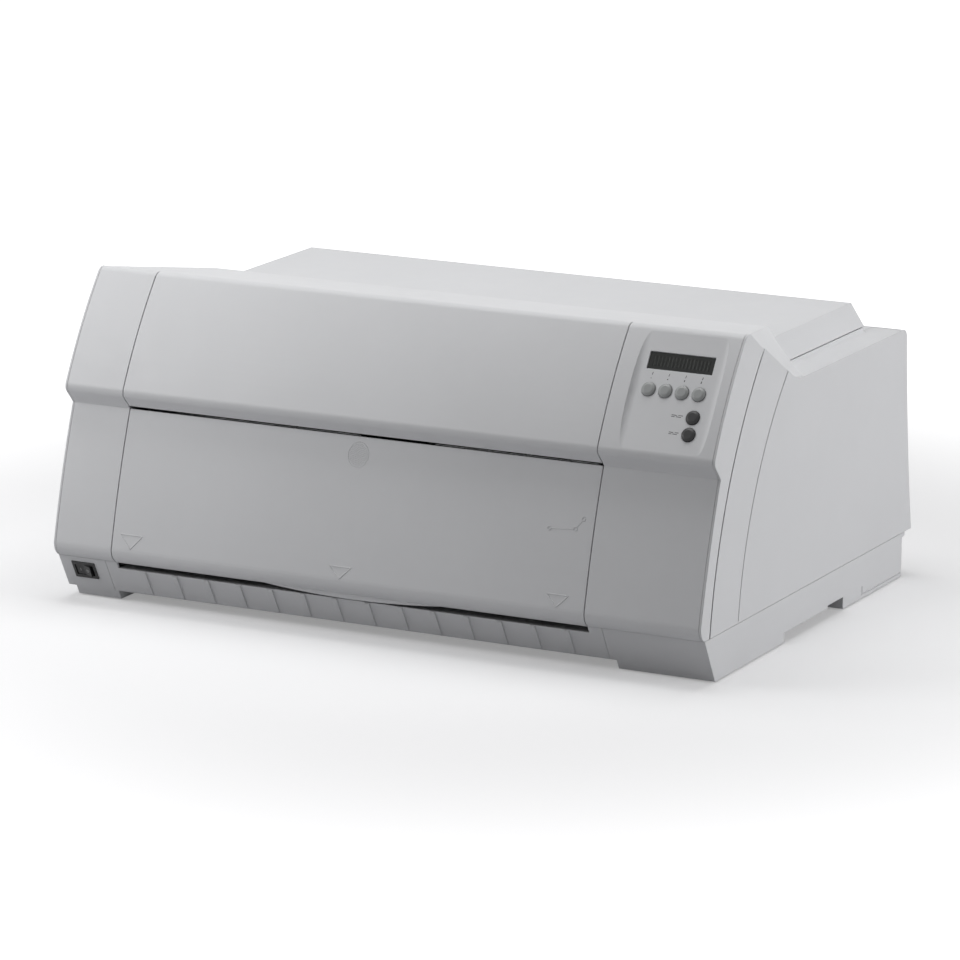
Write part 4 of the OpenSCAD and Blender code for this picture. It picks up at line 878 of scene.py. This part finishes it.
panel_middle, slope_out = flat_of("console_housing", (0, -0.843, 0.537))
slope_up = np.cross(slope_out, (1, 0, 0))
panel_middle[0] = 0
panel_face = plane_face(panel_middle, np.array([1.0, 0, 0]), slope_up)


board_face = float(flat_of("control_board", slope_out)[0] @ slope_out) + 0.0001
finish(["control_board"],
       board_material("control_board_mask", slope_up, slope_out, board_face))


def up_the_slope(point):
    """How far up the console's slope from the middle of its panel a point lies."""
    return float((np.array(point) - panel_middle) @ slope_up)


key_grey = moulded("key_grey", (0.34, 0.35, 0.35), 0.36, pit_scale=3500.0, pit_depth=0.02,
                   drift=0.02, wear=0.25)
finish(["menu_key_1", "menu_key_2", "menu_key_3", "menu_key_4", "tractor_left_door",
        "tractor_right_door", "ribbon_knob"], key_grey)
finish(["upper_key", "lower_key"],
       moulded("key_black", (0.011, 0.011, 0.012), 0.4, pit_scale=3500.0, pit_depth=0.02,
               drift=0.02, wear=0.15))


def window_material():
    """Smoked acrylic: near black, with faint wipe marks in the gloss."""
    material, tree, shader = new_material("smoked_window")
    coords = tree.nodes.new("ShaderNodeTexCoord").outputs["Object"]
    shader.inputs["Specular IOR Level"].default_value = 0.3
    tree.links.new(ranged(tree, noise(tree, coords, 60.0, 4.0), 0.1, 0.24), shader.inputs["Roughness"])
    depth = blended(tree, "MIX", noise(tree, coords, 25.0), (0.012, 0.013, 0.012, 1),
                    (0.020, 0.022, 0.021, 1))
    tree.links.new(depth, shader.inputs["Base Color"])
    return material


finish(["lcd_window"], window_material())

# character cells of the display, two rows that show faintly through the window
glass_middle, _ = flat_of("lcd_window", slope_out)
glass_face = plane_face(glass_middle, np.array([1.0, 0, 0]), slope_up)
cell_pitch, cell_w, cell_h, cell_t = 0.0034, 0.0029, 0.0046, 0.00003
cells = []
for row in (-0.0048, 0.0002):
    for k in range(16):
        x = (k - 7.5) * cell_pitch
        path = np.array([(x, row), (x, row + cell_h / 2), (x, row + cell_h)])
        cells.append(bead("cell", glass_face, path, cell_w, cell_t, cell_t))
display_cells = join_meshes("display_cells", cells)
display_cells.data.materials.append(
    moulded("cell_grey", (0.019, 0.021, 0.019), 0.2, pit_scale=5000.0, pit_depth=0.01, wear=0.0,
            specular=0.3))
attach(display_cells, "body")

# short printed ticks that join each grey key to its part of the display, and two rows of dashes
ink = moulded("printed_ink", (0.06, 0.06, 0.065), 0.6, pit_scale=4000.0, pit_depth=0.01, drift=0.3,
              wear=0.0)
menu_low, menu_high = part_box("menu_key_1")
menu_s = up_the_slope((menu_low + menu_high) / 2)
film, below = 0.00005, 0.00002  # height of the print, and how far it reaches into the panel
marks = []
for k in (1, 2, 3, 4):
    low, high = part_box(f"menu_key_{k}")
    x = (low.x + high.x) / 2
    stroke = np.array([(x - 0.0002, menu_s + 0.0136), (x + 0.0003, menu_s + 0.0160)])
    blob = np.array([(x - 0.0006, menu_s + 0.0102), (x - 0.0003, menu_s + 0.0102 + 0.0005 * k)])
    marks.append(bead("stroke", panel_face, stretched(stroke, 0.0005), 0.0006, film, below))
    marks.append(bead("blob", panel_face, stretched(blob, 0.0003), 0.0009, film, below))
for name, reach in (("upper_key", 0.0108), ("lower_key", 0.0093)):
    low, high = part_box(name)
    middle = (low + high) / 2
    x, s = middle.x - 0.0095, up_the_slope(middle)
    for row, start, end in ((0.0009, 1.0, 0.55), (0.0009, 0.4, 0.0), (-0.0005, 1.0, 0.7),
                            (-0.0005, 0.6, 0.15)):
        dash = np.array([(x - start * reach, s + row), (x - end * reach, s + row - 0.0002)])
        marks.append(bead("dash", panel_face, stretched(dash, 0.0008), 0.0006, film, below))
console_print = join_meshes("console_print", marks)
console_print.data.materials.append(ink)
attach(console_print, "body")


# ---------- power switch ----------
# A black rocker in a black frame at the left end of the base. Its two halves carry a moulded bar
# and ring, filled with white, for on and off.

finish(["power_rocker", "switch_frame"], jet_black)
rocker_low, rocker_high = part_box("power_rocker")
base_out = flat_of("switch_frame", (0, -0.88, -0.47))[1]
base_up = np.cross(base_out, (1, 0, 0))
switch_marks = []
for side in (-1, 1):
    tilt = math.radians(-9.0 - side * 8.5)
    lean = base_out * math.cos(tilt) + np.array([1.0, 0, 0]) * math.sin(tilt)
    middle, out = flat_of("power_rocker", lean / np.linalg.norm(lean))
    across = np.cross(base_up, out)
    half = plane_face(middle, across / np.linalg.norm(across), base_up)
    if side < 0:
        bar = np.array([(0, -0.0016), (0, 0.0), (0, 0.0016)])
        switch_marks.append(bead("bar", half, bar, 0.0006, 0.00006, 0.00003))
    else:
        ring = ring_path((0, 0), 0.0013, 24)
        switch_marks.append(bead("ring", half, ring, 0.0005, 0.00006, 0.00003))
rocker_marks = join_meshes("rocker_marks", switch_marks)
rocker_marks.data.materials.append(
    moulded("mark_white", (0.75, 0.75, 0.74), 0.5, pit_scale=4000.0, pit_depth=0.02, wear=0.0))
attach(rocker_marks, "power_rocker")
